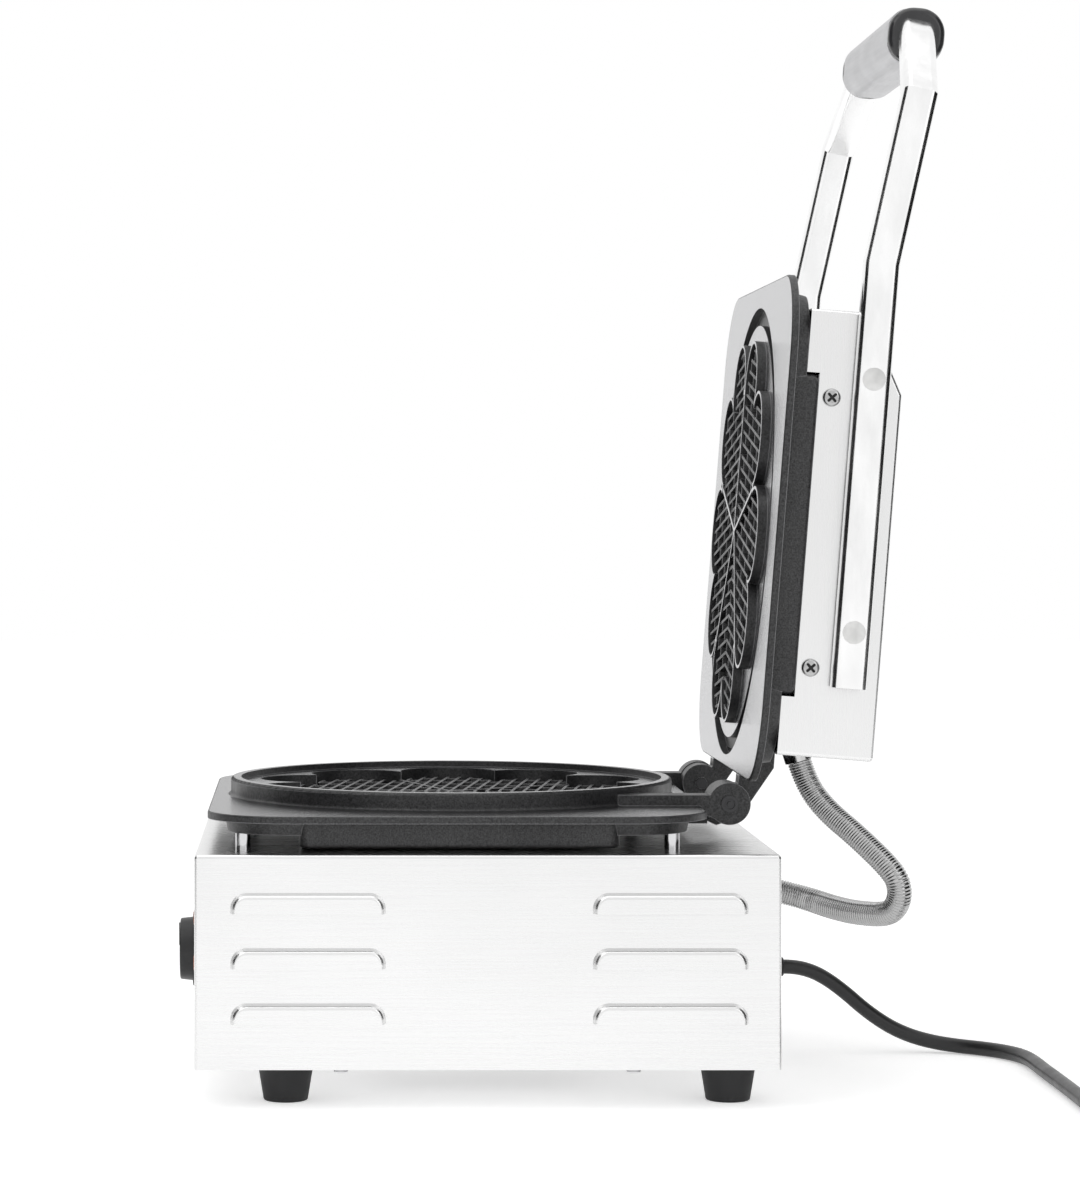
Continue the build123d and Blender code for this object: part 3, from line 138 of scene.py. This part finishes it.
def coil_point(turn):
    """Centre of the coil's tube after so many turns: in, up half a turn and out again."""
    climb = min(max((turn - coil_turns) / coil_climb, 0), 1)
    radius = coil_outer - coil_pitch * min(turn, coil_total - turn)
    angle = 2 * pi * turn - pi / 2
    height = cord_radius + coil_layer * (1 - cos(pi * climb)) / 2
    return (coil_x + radius * cos(angle), coil_y + radius * sin(angle), height)


coil_points = [coil_point(step / coil_steps) for step in range(int(coil_total * coil_steps) + 1)]
plug_entry = (coil_points[-1][0] - 2 * cord_radius, *coil_points[-1][1:])
lead_curve = spline_curve("mains_lead", lead_route + coil_points + [plug_entry])
lead_curve.bevel_depth = cord_radius
lead_curve.bevel_resolution = 5
lead = link("mains_lead", lead_curve)

# Flexible conduit from the back of the base to the lid
conduit_radius = 0.0067
conduit_rib_depth = 0.0006
conduit_rib_pitch = 0.0015
conduit_start = (-0.0300, base_back + 0.0108, 0.0928)
conduit_end = (-0.0050, base_back + 0.0293, 0.1639)
conduit_route = [
    conduit_start,
    (-0.0300, base_back + 0.0239, 0.0898),
    (-0.0256, base_back + 0.0390, 0.0859),
    (-0.0150, base_back + 0.0491, 0.0831),
    (-0.0020, base_back + 0.0595, 0.0816),
    (0.0140, base_back + 0.0740, 0.0822),
    (0.0213, base_back + 0.0786, 0.0878),
    (0.0259, base_back + 0.0795, 0.0969),
    (0.0262, base_back + 0.0762, 0.1064),
    (0.0137, base_back + 0.0584, 0.1244),
    (0.0012, base_back + 0.0431, 0.1375),
    (-0.0050, base_back + 0.0333, 0.1511),
    conduit_end,
]


def route_line(name, route):
    """Points along the smooth curve of a route, in order."""
    guide = link(name, spline_curve(name, route))
    bpy.context.view_layer.update()
    mesh = bpy.data.meshes.new_from_object(guide)
    line = [vertex.co.copy() for vertex in mesh.vertices]
    bpy.data.objects.remove(guide)
    bpy.data.meshes.remove(mesh)
    return line


def evenly(line, step):
    """Points a fixed step apart along a line of points."""
    places = [line[0]]
    spare = 0.0
    for start, end in zip(line, line[1:]):
        length = (end - start).length
        reach = step - spare
        while reach <= length:
            places.append(start.lerp(end, reach / length))
            reach += step
        spare = length - (reach - step)
    places.append(line[-1])
    return places


def wound_tube(name, line, radius, depth, pitch, sides=32, cuts=6):
    """Mesh tube along a line with one helical rib, as a wound metal hose has."""
    places = evenly(line, pitch / cuts)
    mesh = bmesh.new()
    way = (places[1] - places[0]).normalized()
    side = way.orthogonal().normalized()
    rings = []
    for index, place in enumerate(places):
        ahead = places[min(index + 1, len(places) - 1)] - places[max(index - 1, 0)]
        way = ahead.normalized()
        side = (side - way * side.dot(way)).normalized()
        across = way.cross(side)
        ring = []
        for spoke in range(sides):
            angle = 2 * pi * spoke / sides
            phase = (index / cuts + spoke / sides) % 1
            lift = max(0.0, 1 - (abs(phase - 0.5) / 0.42) ** 2) ** 0.5
            reach = radius - depth * (1 - lift)
            ring.append(mesh.verts.new(place + (side * cos(angle) + across * sin(angle)) * reach))
        rings.append(ring)
    for low, high in zip(rings, rings[1:]):
        for spoke in range(sides):
            after = (spoke + 1) % sides
            mesh.faces.new((low[spoke], low[after], high[after], high[spoke]))
    mesh.faces.new(reversed(rings[0]))
    mesh.faces.new(rings[-1])
    data = bpy.data.meshes.new(name)
    mesh.to_mesh(data)
    mesh.free()
    for polygon in data.polygons:
        polygon.use_smooth = True
    return link(name, data)


conduit_line = route_line("conduit_guide", conduit_route)
hose = wound_tube("wound_conduit", conduit_line, conduit_radius, conduit_rib_depth, conduit_rib_pitch)

# Cooking faces of the two castings: the lower one level, the lid's one leaning back at rest
lower_face_below_hinge = 0.0011
lower_face_z = hinge_z - lower_face_below_hinge
mate_above_hinge = 0.005
lid_lean = radians(4.5)
lid_along = Vector((0, sin(lid_lean), cos(lid_lean)))
lid_above = Vector((0, cos(lid_lean), -sin(lid_lean)))
lid_mate = Vector((0, hinge_y, hinge_z)) + lid_above * mate_above_hinge

# Base colours that several finishes share, or that are named for what they show
steel_white = (0.80, 0.80, 0.80)
polished_grey = (0.62, 0.62, 0.63)
plain_grey = (0.50, 0.50, 0.51)
iron_black = (0.020, 0.020, 0.021)
grip_silver = (0.56, 0.56, 0.57)
soft_black = (0.012, 0.012, 0.013)
worn_grey = (0.30, 0.30, 0.31)

# How near a surface lies to a ground level to count as ground, and where the screws' recesses end
level_margin = 0.00006
recess_margin = 0.0002
screw_recess_x = 0.1390


class Shader:
    """Material whose colour, roughness and bump vary with procedural noise."""

    def __init__(self, name, color, roughness, metallic=0.0):
        self.material = bpy.data.materials.new(name)
        self.material.use_nodes = True
        self.nodes = self.material.node_tree.nodes
        self.links = self.material.node_tree.links
        self.surface = self.nodes["Principled BSDF"]
        self.surface.inputs["Base Color"].default_value = (*color, 1)
        self.surface.inputs["Roughness"].default_value = roughness
        self.surface.inputs["Metallic"].default_value = metallic
        self.color = color
        places = self.nodes.new("ShaderNodeTexCoord")
        self.place = places.outputs["Object"]
        self.faces = places.outputs["Normal"]
        self.normal = None

    def noise(self, scale, stretch=(1, 1, 1), detail=4.0, rough=0.55):
        """Noise over the object, with a scale per metre and a stretch along each axis."""
        mapping = self.nodes.new("ShaderNodeMapping")
        mapping.inputs["Scale"].default_value = stretch
        self.links.new(self.place, mapping.inputs["Vector"])
        texture = self.nodes.new("ShaderNodeTexNoise")
        texture.inputs["Scale"].default_value = scale
        texture.inputs["Detail"].default_value = detail
        texture.inputs["Roughness"].default_value = rough
        self.links.new(mapping.outputs["Vector"], texture.inputs["Vector"])
        return texture.outputs["Fac"]

    def spread(self, source, low, high, start=0.35, end=0.65):
        """Source remapped from its usual middle range to low and high."""
        remap = self.nodes.new("ShaderNodeMapRange")
        remap.inputs["From Min"].default_value = start
        remap.inputs["From Max"].default_value = end
        remap.inputs["To Min"].default_value = low
        remap.inputs["To Max"].default_value = high
        self.links.new(source, remap.inputs["Value"])
        return remap.outputs["Result"]

    def math(self, operation, first, second=None, margin=None):
        """Result of a math node; each operand after the first is a socket or a number."""
        node = self.nodes.new("ShaderNodeMath")
        node.operation = operation
        for slot, value in zip(node.inputs, (first, second, margin)):
            if isinstance(value, float):
                slot.default_value = value
            elif value is not None:
                self.links.new(value, slot)
        return node.outputs["Value"]

    def dot(self, first, second):
        """Dot product of a vector socket with another socket or with a fixed vector."""
        node = self.nodes.new("ShaderNodeVectorMath")
        node.operation = "DOT_PRODUCT"
        self.links.new(first, node.inputs[0])
        if isinstance(second, Vector):
            node.inputs[1].default_value = second
        else:
            self.links.new(second, node.inputs[1])
        return node.outputs["Value"]

    def vary_color(self, source, darker, lighter):
        """Colour that runs between a darker and a lighter share of the base colour."""
        ramp = self.nodes.new("ShaderNodeMix")
        ramp.data_type = "RGBA"
        ramp.inputs["A"].default_value = (*[value * darker for value in self.color], 1)
        ramp.inputs["B"].default_value = (*[min(value * lighter, 1) for value in self.color], 1)
        self.links.new(self.spread(source, 0, 1), ramp.inputs["Factor"])
        self.links.new(ramp.outputs["Result"], self.surface.inputs["Base Color"])
        return self

    def vary_roughness(self, source, low, high):
        """Roughness that runs between two values."""
        self.links.new(self.spread(source, low, high), self.surface.inputs["Roughness"])
        return self

    def bump(self, source, height, strength=1.0):
        """Relief of a given height in metres, added to any relief before it."""
        relief = self.nodes.new("ShaderNodeBump")
        relief.inputs["Distance"].default_value = height
        relief.inputs["Strength"].default_value = strength
        self.links.new(source, relief.inputs["Height"])
        if self.normal:
            self.links.new(self.normal, relief.inputs["Normal"])
        self.normal = relief.outputs["Normal"]
        self.links.new(self.normal, self.surface.inputs["Normal"])
        return self

    def edge_wear(self, radius, color, low=0.02, high=0.12):
        """Lighter colour along convex edges, as worn castings show."""
        before = self.surface.inputs["Base Color"]
        source = before.links[0].from_socket if before.is_linked else None
        bevel = self.nodes.new("ShaderNodeBevel")
        bevel.samples = 4
        bevel.inputs["Radius"].default_value = radius
        geometry = self.nodes.new("ShaderNodeNewGeometry")
        match = self.dot(bevel.outputs["Normal"], geometry.outputs["Normal"])
        amount = self.spread(match, 1, 0, 1 - high, 1 - low)
        mix = self.nodes.new("ShaderNodeMix")
        mix.data_type = "RGBA"
        if source:
            self.links.new(source, mix.inputs["A"])
        else:
            mix.inputs["A"].default_value = (*self.color, 1)
        mix.inputs["B"].default_value = (*color, 1)
        self.links.new(amount, mix.inputs["Factor"])
        self.links.new(mix.outputs["Result"], before)
        return self

    def coat_over(self, mask, color, roughness, metallic):
        """Second finish laid over the first where the mask is 1."""
        for name, value in (("Base Color", (*color, 1)), ("Roughness", roughness), ("Metallic", metallic)):
            before = self.surface.inputs[name]
            source = before.links[0].from_socket if before.is_linked else None
            mix = self.nodes.new("ShaderNodeMix")
            mix.data_type = "RGBA" if name == "Base Color" else "FLOAT"
            kind = "Color" if name == "Base Color" else "Float"
            first, second = [
                slot for slot in mix.inputs if slot.identifier.endswith(kind) and slot.name in "AB"
            ]
            if source:
                self.links.new(source, first)
            else:
                first.default_value = before.default_value
            second.default_value = value
            factor = next(slot for slot in mix.inputs if slot.identifier == "Factor_Float")
            self.links.new(mask, factor)
            result = next(slot for slot in mix.outputs if slot.identifier.endswith(kind))
            self.links.new(result, before)
        return self


def brushed(name, color, roughness, stretch, depth=0.000005):
    """Sheet metal brushed along the axis that stretch makes long."""
    shader = Shader(name, color, roughness, 1.0)
    lines = shader.noise(1400, stretch, 3.0, 0.6)
    patches = shader.noise(9, (1, 1, 1), 2.0)
    shader.vary_color(patches, 0.975, 1.02)
    shader.vary_roughness(lines, roughness - 0.03, roughness + 0.04)
    shader.bump(lines, depth, 0.22)
    return shader


def polished(name, color, roughness):
    """Polished metal with faint smears."""
    shader = Shader(name, color, roughness, 1.0)
    smears = shader.noise(60, (1, 1, 0.4), 4.0)
    shader.vary_color(smears, 0.93, 1.04)
    shader.vary_roughness(smears, roughness * 0.8, roughness * 1.35)
    return shader


def moulded(name, color, roughness, grain=2200, depth=0.00002):
    """Moulded plastic or rubber with a fine grain."""
    shader = Shader(name, color, roughness)
    fine = shader.noise(grain, (1, 1, 1), 3.0)
    broad = shader.noise(70, (1, 1, 1), 3.0)
    shader.vary_color(broad, 0.85, 1.2)
    shader.vary_roughness(broad, roughness - 0.04, roughness + 0.06)
    shader.bump(fine, depth, 0.4)
    return shader


def screw_with_recess_shade(name, color, recess_x):
    """Screw steel with painted shade, a near-black coat, on the floor of the recess, which lies at
    recess_x to either side.
    """
    shader = polished(name, color, 0.20)
    place = shader.nodes.new("ShaderNodeSeparateXYZ")
    face = shader.nodes.new("ShaderNodeSeparateXYZ")
    shader.links.new(shader.place, place.inputs[0])
    shader.links.new(shader.faces, face.inputs[0])
    aside = shader.math("ABSOLUTE", place.outputs["X"])
    near = shader.math("COMPARE", aside, recess_x, recess_margin)
    flat = shader.spread(shader.math("ABSOLUTE", face.outputs["X"]), 0, 1, 0.97, 0.99)
    # Painted shade: a near-black coat on the flat recess floor stands in for the shade that falls in the
    # recess
    shader.coat_over(shader.math("MULTIPLY", near, flat), (0.03, 0.03, 0.03), 0.5, 0.5)
    return shader


def casting(name, origin, facing, ground_color, levels):
    """Seasoned cast iron, rough all over but ground smooth where it lies at one of the face's levels."""
    shader = Shader(name, iron_black, 0.42, 0.0)
    grain = shader.noise(620, (1, 1, 1), 6.0, 0.68)
    pits = shader.noise(190, (1, 1, 1), 3.0)
    patches = shader.noise(38, (1, 1, 1), 4.0)
    speckle = shader.noise(1300, (1, 1, 1), 3.0, 0.6)
    shader.vary_color(grain, 0.4, 1.8)
    shader.vary_roughness(patches, 0.34, 0.50)
    shine = shader.spread(speckle, 0.30, 0.80)
    shader.links.new(shine, shader.surface.inputs["Specular IOR Level"])
    shader.bump(pits, 0.00035, 0.6)
    shader.bump(grain, 0.00022, 0.7)
    shader.edge_wear(0.0007, worn_grey)
    mask = shader.spread(shader.dot(shader.faces, facing), 0, 1, 0.90, 0.98)
    height = shader.dot(shader.place, facing)
    near = None
    for level in levels:
        at_level = shader.math("COMPARE", height, origin.dot(facing) + level, level_margin)
        near = shader.math("MAXIMUM", near, at_level) if near else at_level
    shader.coat_over(shader.math("MULTIPLY", mask, near), ground_color, 0.24, 1.0)
    return shader


# Finishes
stainless = brushed("stainless_sheet", steel_white, 0.26, (1, 0.012, 1)).material
stainless_lid = brushed("stainless_lid", steel_white, 0.26, (1, 1, 0.012)).material
mirror_steel = polished("polished_steel", polished_grey, 0.10).material
arm_steel = polished("arm_steel", (0.93, 0.93, 0.93), 0.16).material
plain_steel = polished("plain_steel", plain_grey, 0.34).material
# Cover screws' steel, with painted shade on the floors of their recesses
screw_steel = screw_with_recess_shade("screw_steel", (0.46, 0.46, 0.46), screw_recess_x).material
dark_steel = polished("pin_steel", (0.060, 0.060, 0.062), 0.35).material
heater_sheath = polished("heater_sheath", (0.16, 0.14, 0.13), 0.42).material
lower_iron = casting(
    "seasoned_iron_lower",
    Vector((0, 0, lower_face_z)),
    Vector((0, 0, 1)),
    (0.16, 0.16, 0.165),
    (0.0, 0.006, 0.0094),
).material
upper_iron = casting(
    "seasoned_iron_upper",
    lid_mate,
    -lid_above,
    (0.50, 0.50, 0.51),
    (0.0, -0.0006, 0.0043, 0.0045),
).material
grip = Shader("grip_metal", grip_silver, 0.42, 1.0)
grip_lines = grip.noise(1500, (0.02, 1, 1), 3.0)
grip.vary_color(grip.noise(40, (1, 1, 1), 3.0), 0.95, 1.04)
grip.vary_roughness(grip_lines, 0.38, 0.5)
grip.bump(grip_lines, 0.00001, 0.4)
grip = grip.material
cap_plastic = moulded("cap_plastic", (0.030, 0.030, 0.032), 0.16, 1200, 0.00001).material
button_plastic = moulded("plug_button", (0.80, 0.80, 0.79), 0.45).material
knob_plastic = moulded("knob_plastic", soft_black, 0.38).material
switch_plastic = moulded("switch_plastic", soft_black, 0.40).material
rocker_plastic = moulded("rocker_plastic", (0.33, 0.012, 0.010), 0.24).material
terminal_plastic = moulded("terminal_plastic", (0.62, 0.60, 0.54), 0.50).material
foot_rubber = moulded("foot_rubber", (0.016, 0.016, 0.017), 0.62, 1600, 0.00005).material
gland_plastic = moulded("gland_plastic", (0.014, 0.014, 0.015), 0.42).material
cord_rubber = moulded("cord_rubber", (0.014, 0.014, 0.015), 0.36, 1800, 0.00001).material
plug_plastic = moulded("plug_plastic", (0.016, 0.016, 0.017), 0.45).material
pin_metal = polished("pin_brass", (0.66, 0.62, 0.52), 0.18).material
conduit_metal = polished("conduit_metal", (0.46, 0.46, 0.46), 0.14).material
fitting_metal = polished("fitting_metal", (0.58, 0.58, 0.58), 0.14).material
lamp = Shader("lamp_lens", (0.60, 0.12, 0.01), 0.08)
lamp.vary_color(lamp.noise(300), 0.8, 1.15)
lamp.surface.inputs["Transmission Weight"].default_value = 0.35
lamp.surface.inputs["IOR"].default_value = 1.49
lamp = lamp.material

finishes = {
    "base_shell": stainless,
    "base_floor": stainless,
    "floor_screws": plain_steel,
    "feet": foot_rubber,
    "foot_screws": plain_steel,
    "plate_posts": mirror_steel,
    "post_bolts": plain_steel,
    "lower_plate": lower_iron,
    "upper_plate": upper_iron,
    "hinge_pins": dark_steel,
    "lower_heating_element": heater_sheath,
    "upper_heating_element": heater_sheath,
    "lower_heater_cover": plain_steel,
    "upper_heater_cover": plain_steel,
    "lower_heater_screws": plain_steel,
    "upper_heater_screws": plain_steel,
    "thermostat_body": terminal_plastic,
    "thermostat_bulb": pin_metal,
    "thermostat_knob": knob_plastic,
    "thermostat_shaft": plain_steel,
    "switch_body": switch_plastic,
    "switch_rocker": rocker_plastic,
    "pilot_lamps": lamp,
    "terminal_block": terminal_plastic,
    "base_conduit_fitting": fitting_metal,
    "lid_conduit_fitting": fitting_metal,
    "cord_gland": gland_plastic,
    "plug_body": plug_plastic,
    "plug_pins": pin_metal,
    "lid_cover": stainless_lid,
    "lid_brackets": plain_steel,
    "cover_screws": screw_steel,
    "right_handle_arm": arm_steel,
    "left_handle_arm": arm_steel,
    "arm_bolts": plain_steel,
    "arm_plugs": button_plastic,
    "handle_grip": grip,
    "grip_caps": cap_plastic,
    "grip_tie_rod": plain_steel,
}
for name, material in finishes.items():
    data = nodes[name].data
    data.materials.clear()
    data.materials.append(material)

# Short cross walls of the waffle lattice, staggered from row to row as bricks are
field_along = 0.142
heart_count = 5
field_radius = 0.108
lobe_half_angle = radians(17)
lattice_pitch = 0.0067
lattice_rib = 0.0015
lattice_fall = tan(radians(9))
lattice_rise = 0.0042
cross_spacing = 0.0268
cross_foot = 0.0019
cross_top = 0.0011
cross_bite = 0.0004
cross_top_drop = 0.0001
lower_floor_depth = 0.0032
lower_border = 0.0035
upper_floor_depth = 0.0007
upper_border = 0.0065
heart_turn = 2 * pi / heart_count
lobe_share = sin(heart_turn / 2 - lobe_half_angle)
lobe_overlap = 0.0004
lobe_centre = (field_radius - lobe_overlap) / (1 + lobe_share)
lobe_radius = field_radius - lobe_centre
lobes = [
    (lobe_centre * sin(turn), lobe_centre * cos(turn))
    for heart in range(heart_count)
    for turn in (
        heart * heart_turn + heart_turn / 2 - lobe_half_angle,
        heart * heart_turn + heart_turn / 2 + lobe_half_angle,
    )
]


def lower_place(x, run, depth):
    """Point of the lower plate, run back to front from the hinge and depth below its face."""
    return Vector((x, hinge_y - run, lower_face_z - depth))


def upper_place(x, run, depth):
    """Point of the lid's plate at rest, depth behind its face."""
    return lid_mate + lid_along * run + lid_above * depth + Vector((x, 0, 0))


def in_hearts(x, run, inset):
    """Whether a point of the plate lies inside the outline of the five hearts."""
    ahead = run - field_along
    if any((x - cx) ** 2 + (ahead - cy) ** 2 < (lobe_radius - inset) ** 2 for cx, cy in lobes):
        return True
    turn = atan2(x, ahead) % (2 * pi)
    for (x1, y1), (x2, y2) in zip(lobes, lobes[1:] + lobes[:1]):
        start = atan2(x1, y1) % (2 * pi)
        span = (atan2(x2, y2) - atan2(x1, y1)) % (2 * pi)
        if (turn - start) % (2 * pi) < span:
            side = (x2 - x1) * (ahead - y1) - (y2 - y1) * (x - x1)
            return side < 0
    return False


def cross_walls(name, place, floor_depth, border, iron):
    """All the short walls of one plate, each with draft, as one mesh."""
    mesh = bmesh.new()
    rows = int(field_radius / lattice_pitch)
    top_depth = floor_depth - lattice_rise + cross_top_drop
    for row in range(-rows, rows + 2):
        shift = cross_spacing / 2 if row % 2 else 0.0
        for column in range(-5, 6):
            x = column * cross_spacing + shift
            near = field_along + row * lattice_pitch - abs(x) * lattice_fall + lattice_rib
            far = near + lattice_pitch - lattice_rib
            if not (in_hearts(x, near, border) and in_hearts(x, far, border)):
                continue
            corners = []
            for depth, width in ((floor_depth, cross_foot), (top_depth, cross_top)):
                for dx, run in ((-1, near), (1, near), (1, far), (-1, far)):
                    reach = -cross_bite if run == near else cross_bite
                    corners.append(mesh.verts.new(place(x + dx * width / 2, run + reach, depth)))
            bottom, top = corners[:4], corners[4:]
            mesh.faces.new(top)
            for index in range(4):
                after = (index + 1) % 4
                mesh.faces.new((bottom[index], bottom[after], top[after], top[index]))
            mesh.faces.new(reversed(bottom))
    bmesh.ops.recalc_face_normals(mesh, faces=mesh.faces)
    data = bpy.data.meshes.new(name)
    mesh.to_mesh(data)
    mesh.free()
    data.materials.append(iron)
    return link(name, data)


lower_walls = cross_walls("lower_lattice_walls", lower_place, lower_floor_depth, lower_border, lower_iron)
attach(lower_walls, "base")
upper_walls = cross_walls("upper_lattice_walls", upper_place, upper_floor_depth, upper_border, upper_iron)
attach(upper_walls, "lid")

# Dress of the lead and the conduit
lead.data.materials.append(cord_rubber)
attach(lead, "base")
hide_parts("power_cord", "cord_coil")
hose.data.materials.append(conduit_metal)
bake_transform(hose)
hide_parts("conduit")

# Table, dark cards and world


def flat_piece(name, data_name, size, material):
    """Square sheet with one material."""
    mesh = bmesh.new()
    bmesh.ops.create_grid(mesh, x_segments=1, y_segments=1, size=size)
    data = bpy.data.meshes.new(data_name)
    mesh.to_mesh(data)
    mesh.free()
    data.materials.append(material)
    return link(name, data)


def matte(name, grey, roughness):
    """Plain grey material without shine."""
    material = bpy.data.materials.new(name)
    material.use_nodes = True
    surface = material.node_tree.nodes["Principled BSDF"]
    surface.inputs["Base Color"].default_value = (grey, grey, grey, 1)
    surface.inputs["Roughness"].default_value = roughness
    surface.inputs["Specular IOR Level"].default_value = 0.0
    return material


def for_seen_rays(tree, target, others, seen):
    """Drive an input with one value for camera and glossy rays and another for all others."""
    rays = tree.nodes.new("ShaderNodeLightPath")
    either = tree.nodes.new("ShaderNodeMath")
    either.operation = "MAXIMUM"
    tree.links.new(rays.outputs["Is Camera Ray"], either.inputs[0])
    tree.links.new(rays.outputs["Is Glossy Ray"], either.inputs[1])
    level = tree.nodes.new("ShaderNodeMapRange")
    level.inputs["To Min"].default_value = others
    level.inputs["To Max"].default_value = seen
    tree.links.new(either.outputs["Value"], level.inputs["Value"])
    tree.links.new(level.outputs["Result"], target)


white = matte("table_white", 0.93, 0.9)
white_surface = white.node_tree.nodes["Principled BSDF"]
white_surface.inputs["Emission Color"].default_value = (1, 1, 1, 1)
for_seen_rays(white.node_tree, white_surface.inputs["Emission Strength"], 0.0, 0.42)
table = flat_piece("table", "table", 6, white)

# Two dark cards beside the machine, seen only in its polished metal
card_black = matte("card_black", 0.02, 1.0)
card_distance = 1.4
for side in (-1, 1):
    card = flat_piece("card_front" if side < 0 else "card_back", "card", 0.5, card_black)
    card.scale = (1.7, 1.9, 1)
    card.location = (0.45, side * card_distance, 0.75)
    card.rotation_euler = (pi / 2, 0, 0)
    card.visible_camera = False
    card.visible_diffuse = False
    card.visible_shadow = False

world = bpy.data.worlds.new("studio")
bpy.context.scene.world = world
world.use_nodes = True
background = world.node_tree.nodes["Background"]
background.inputs["Color"].default_value = (1, 1, 1, 1)
for_seen_rays(world.node_tree, background.inputs["Strength"], 0.66, 1.0)


def softbox(name, place, target, size, power):
    """Rectangular area lamp aimed at a point."""
    data = bpy.data.lights.new(name, "AREA")
    data.shape = "RECTANGLE"
    data.size, data.size_y = size
    data.energy = power
    lamp_piece = link(name, data)
    lamp_piece.location = place
    lamp_piece.rotation_euler = (Vector(target) - Vector(place)).to_track_quat("-Z", "Y").to_euler()


middle = (0, 0, 0.22)
softbox("key_light", (1.2, -1.5, 2.0), middle, (1.4, 1.4), 7)
softbox("fill_light", (1.6, 1.4, 1.1), middle, (1.2, 1.2), 3)
softbox("top_light", (0, 0, 2.4), middle, (1.8, 1.8), 8)

bpy.context.scene.view_settings.view_transform = "Standard"
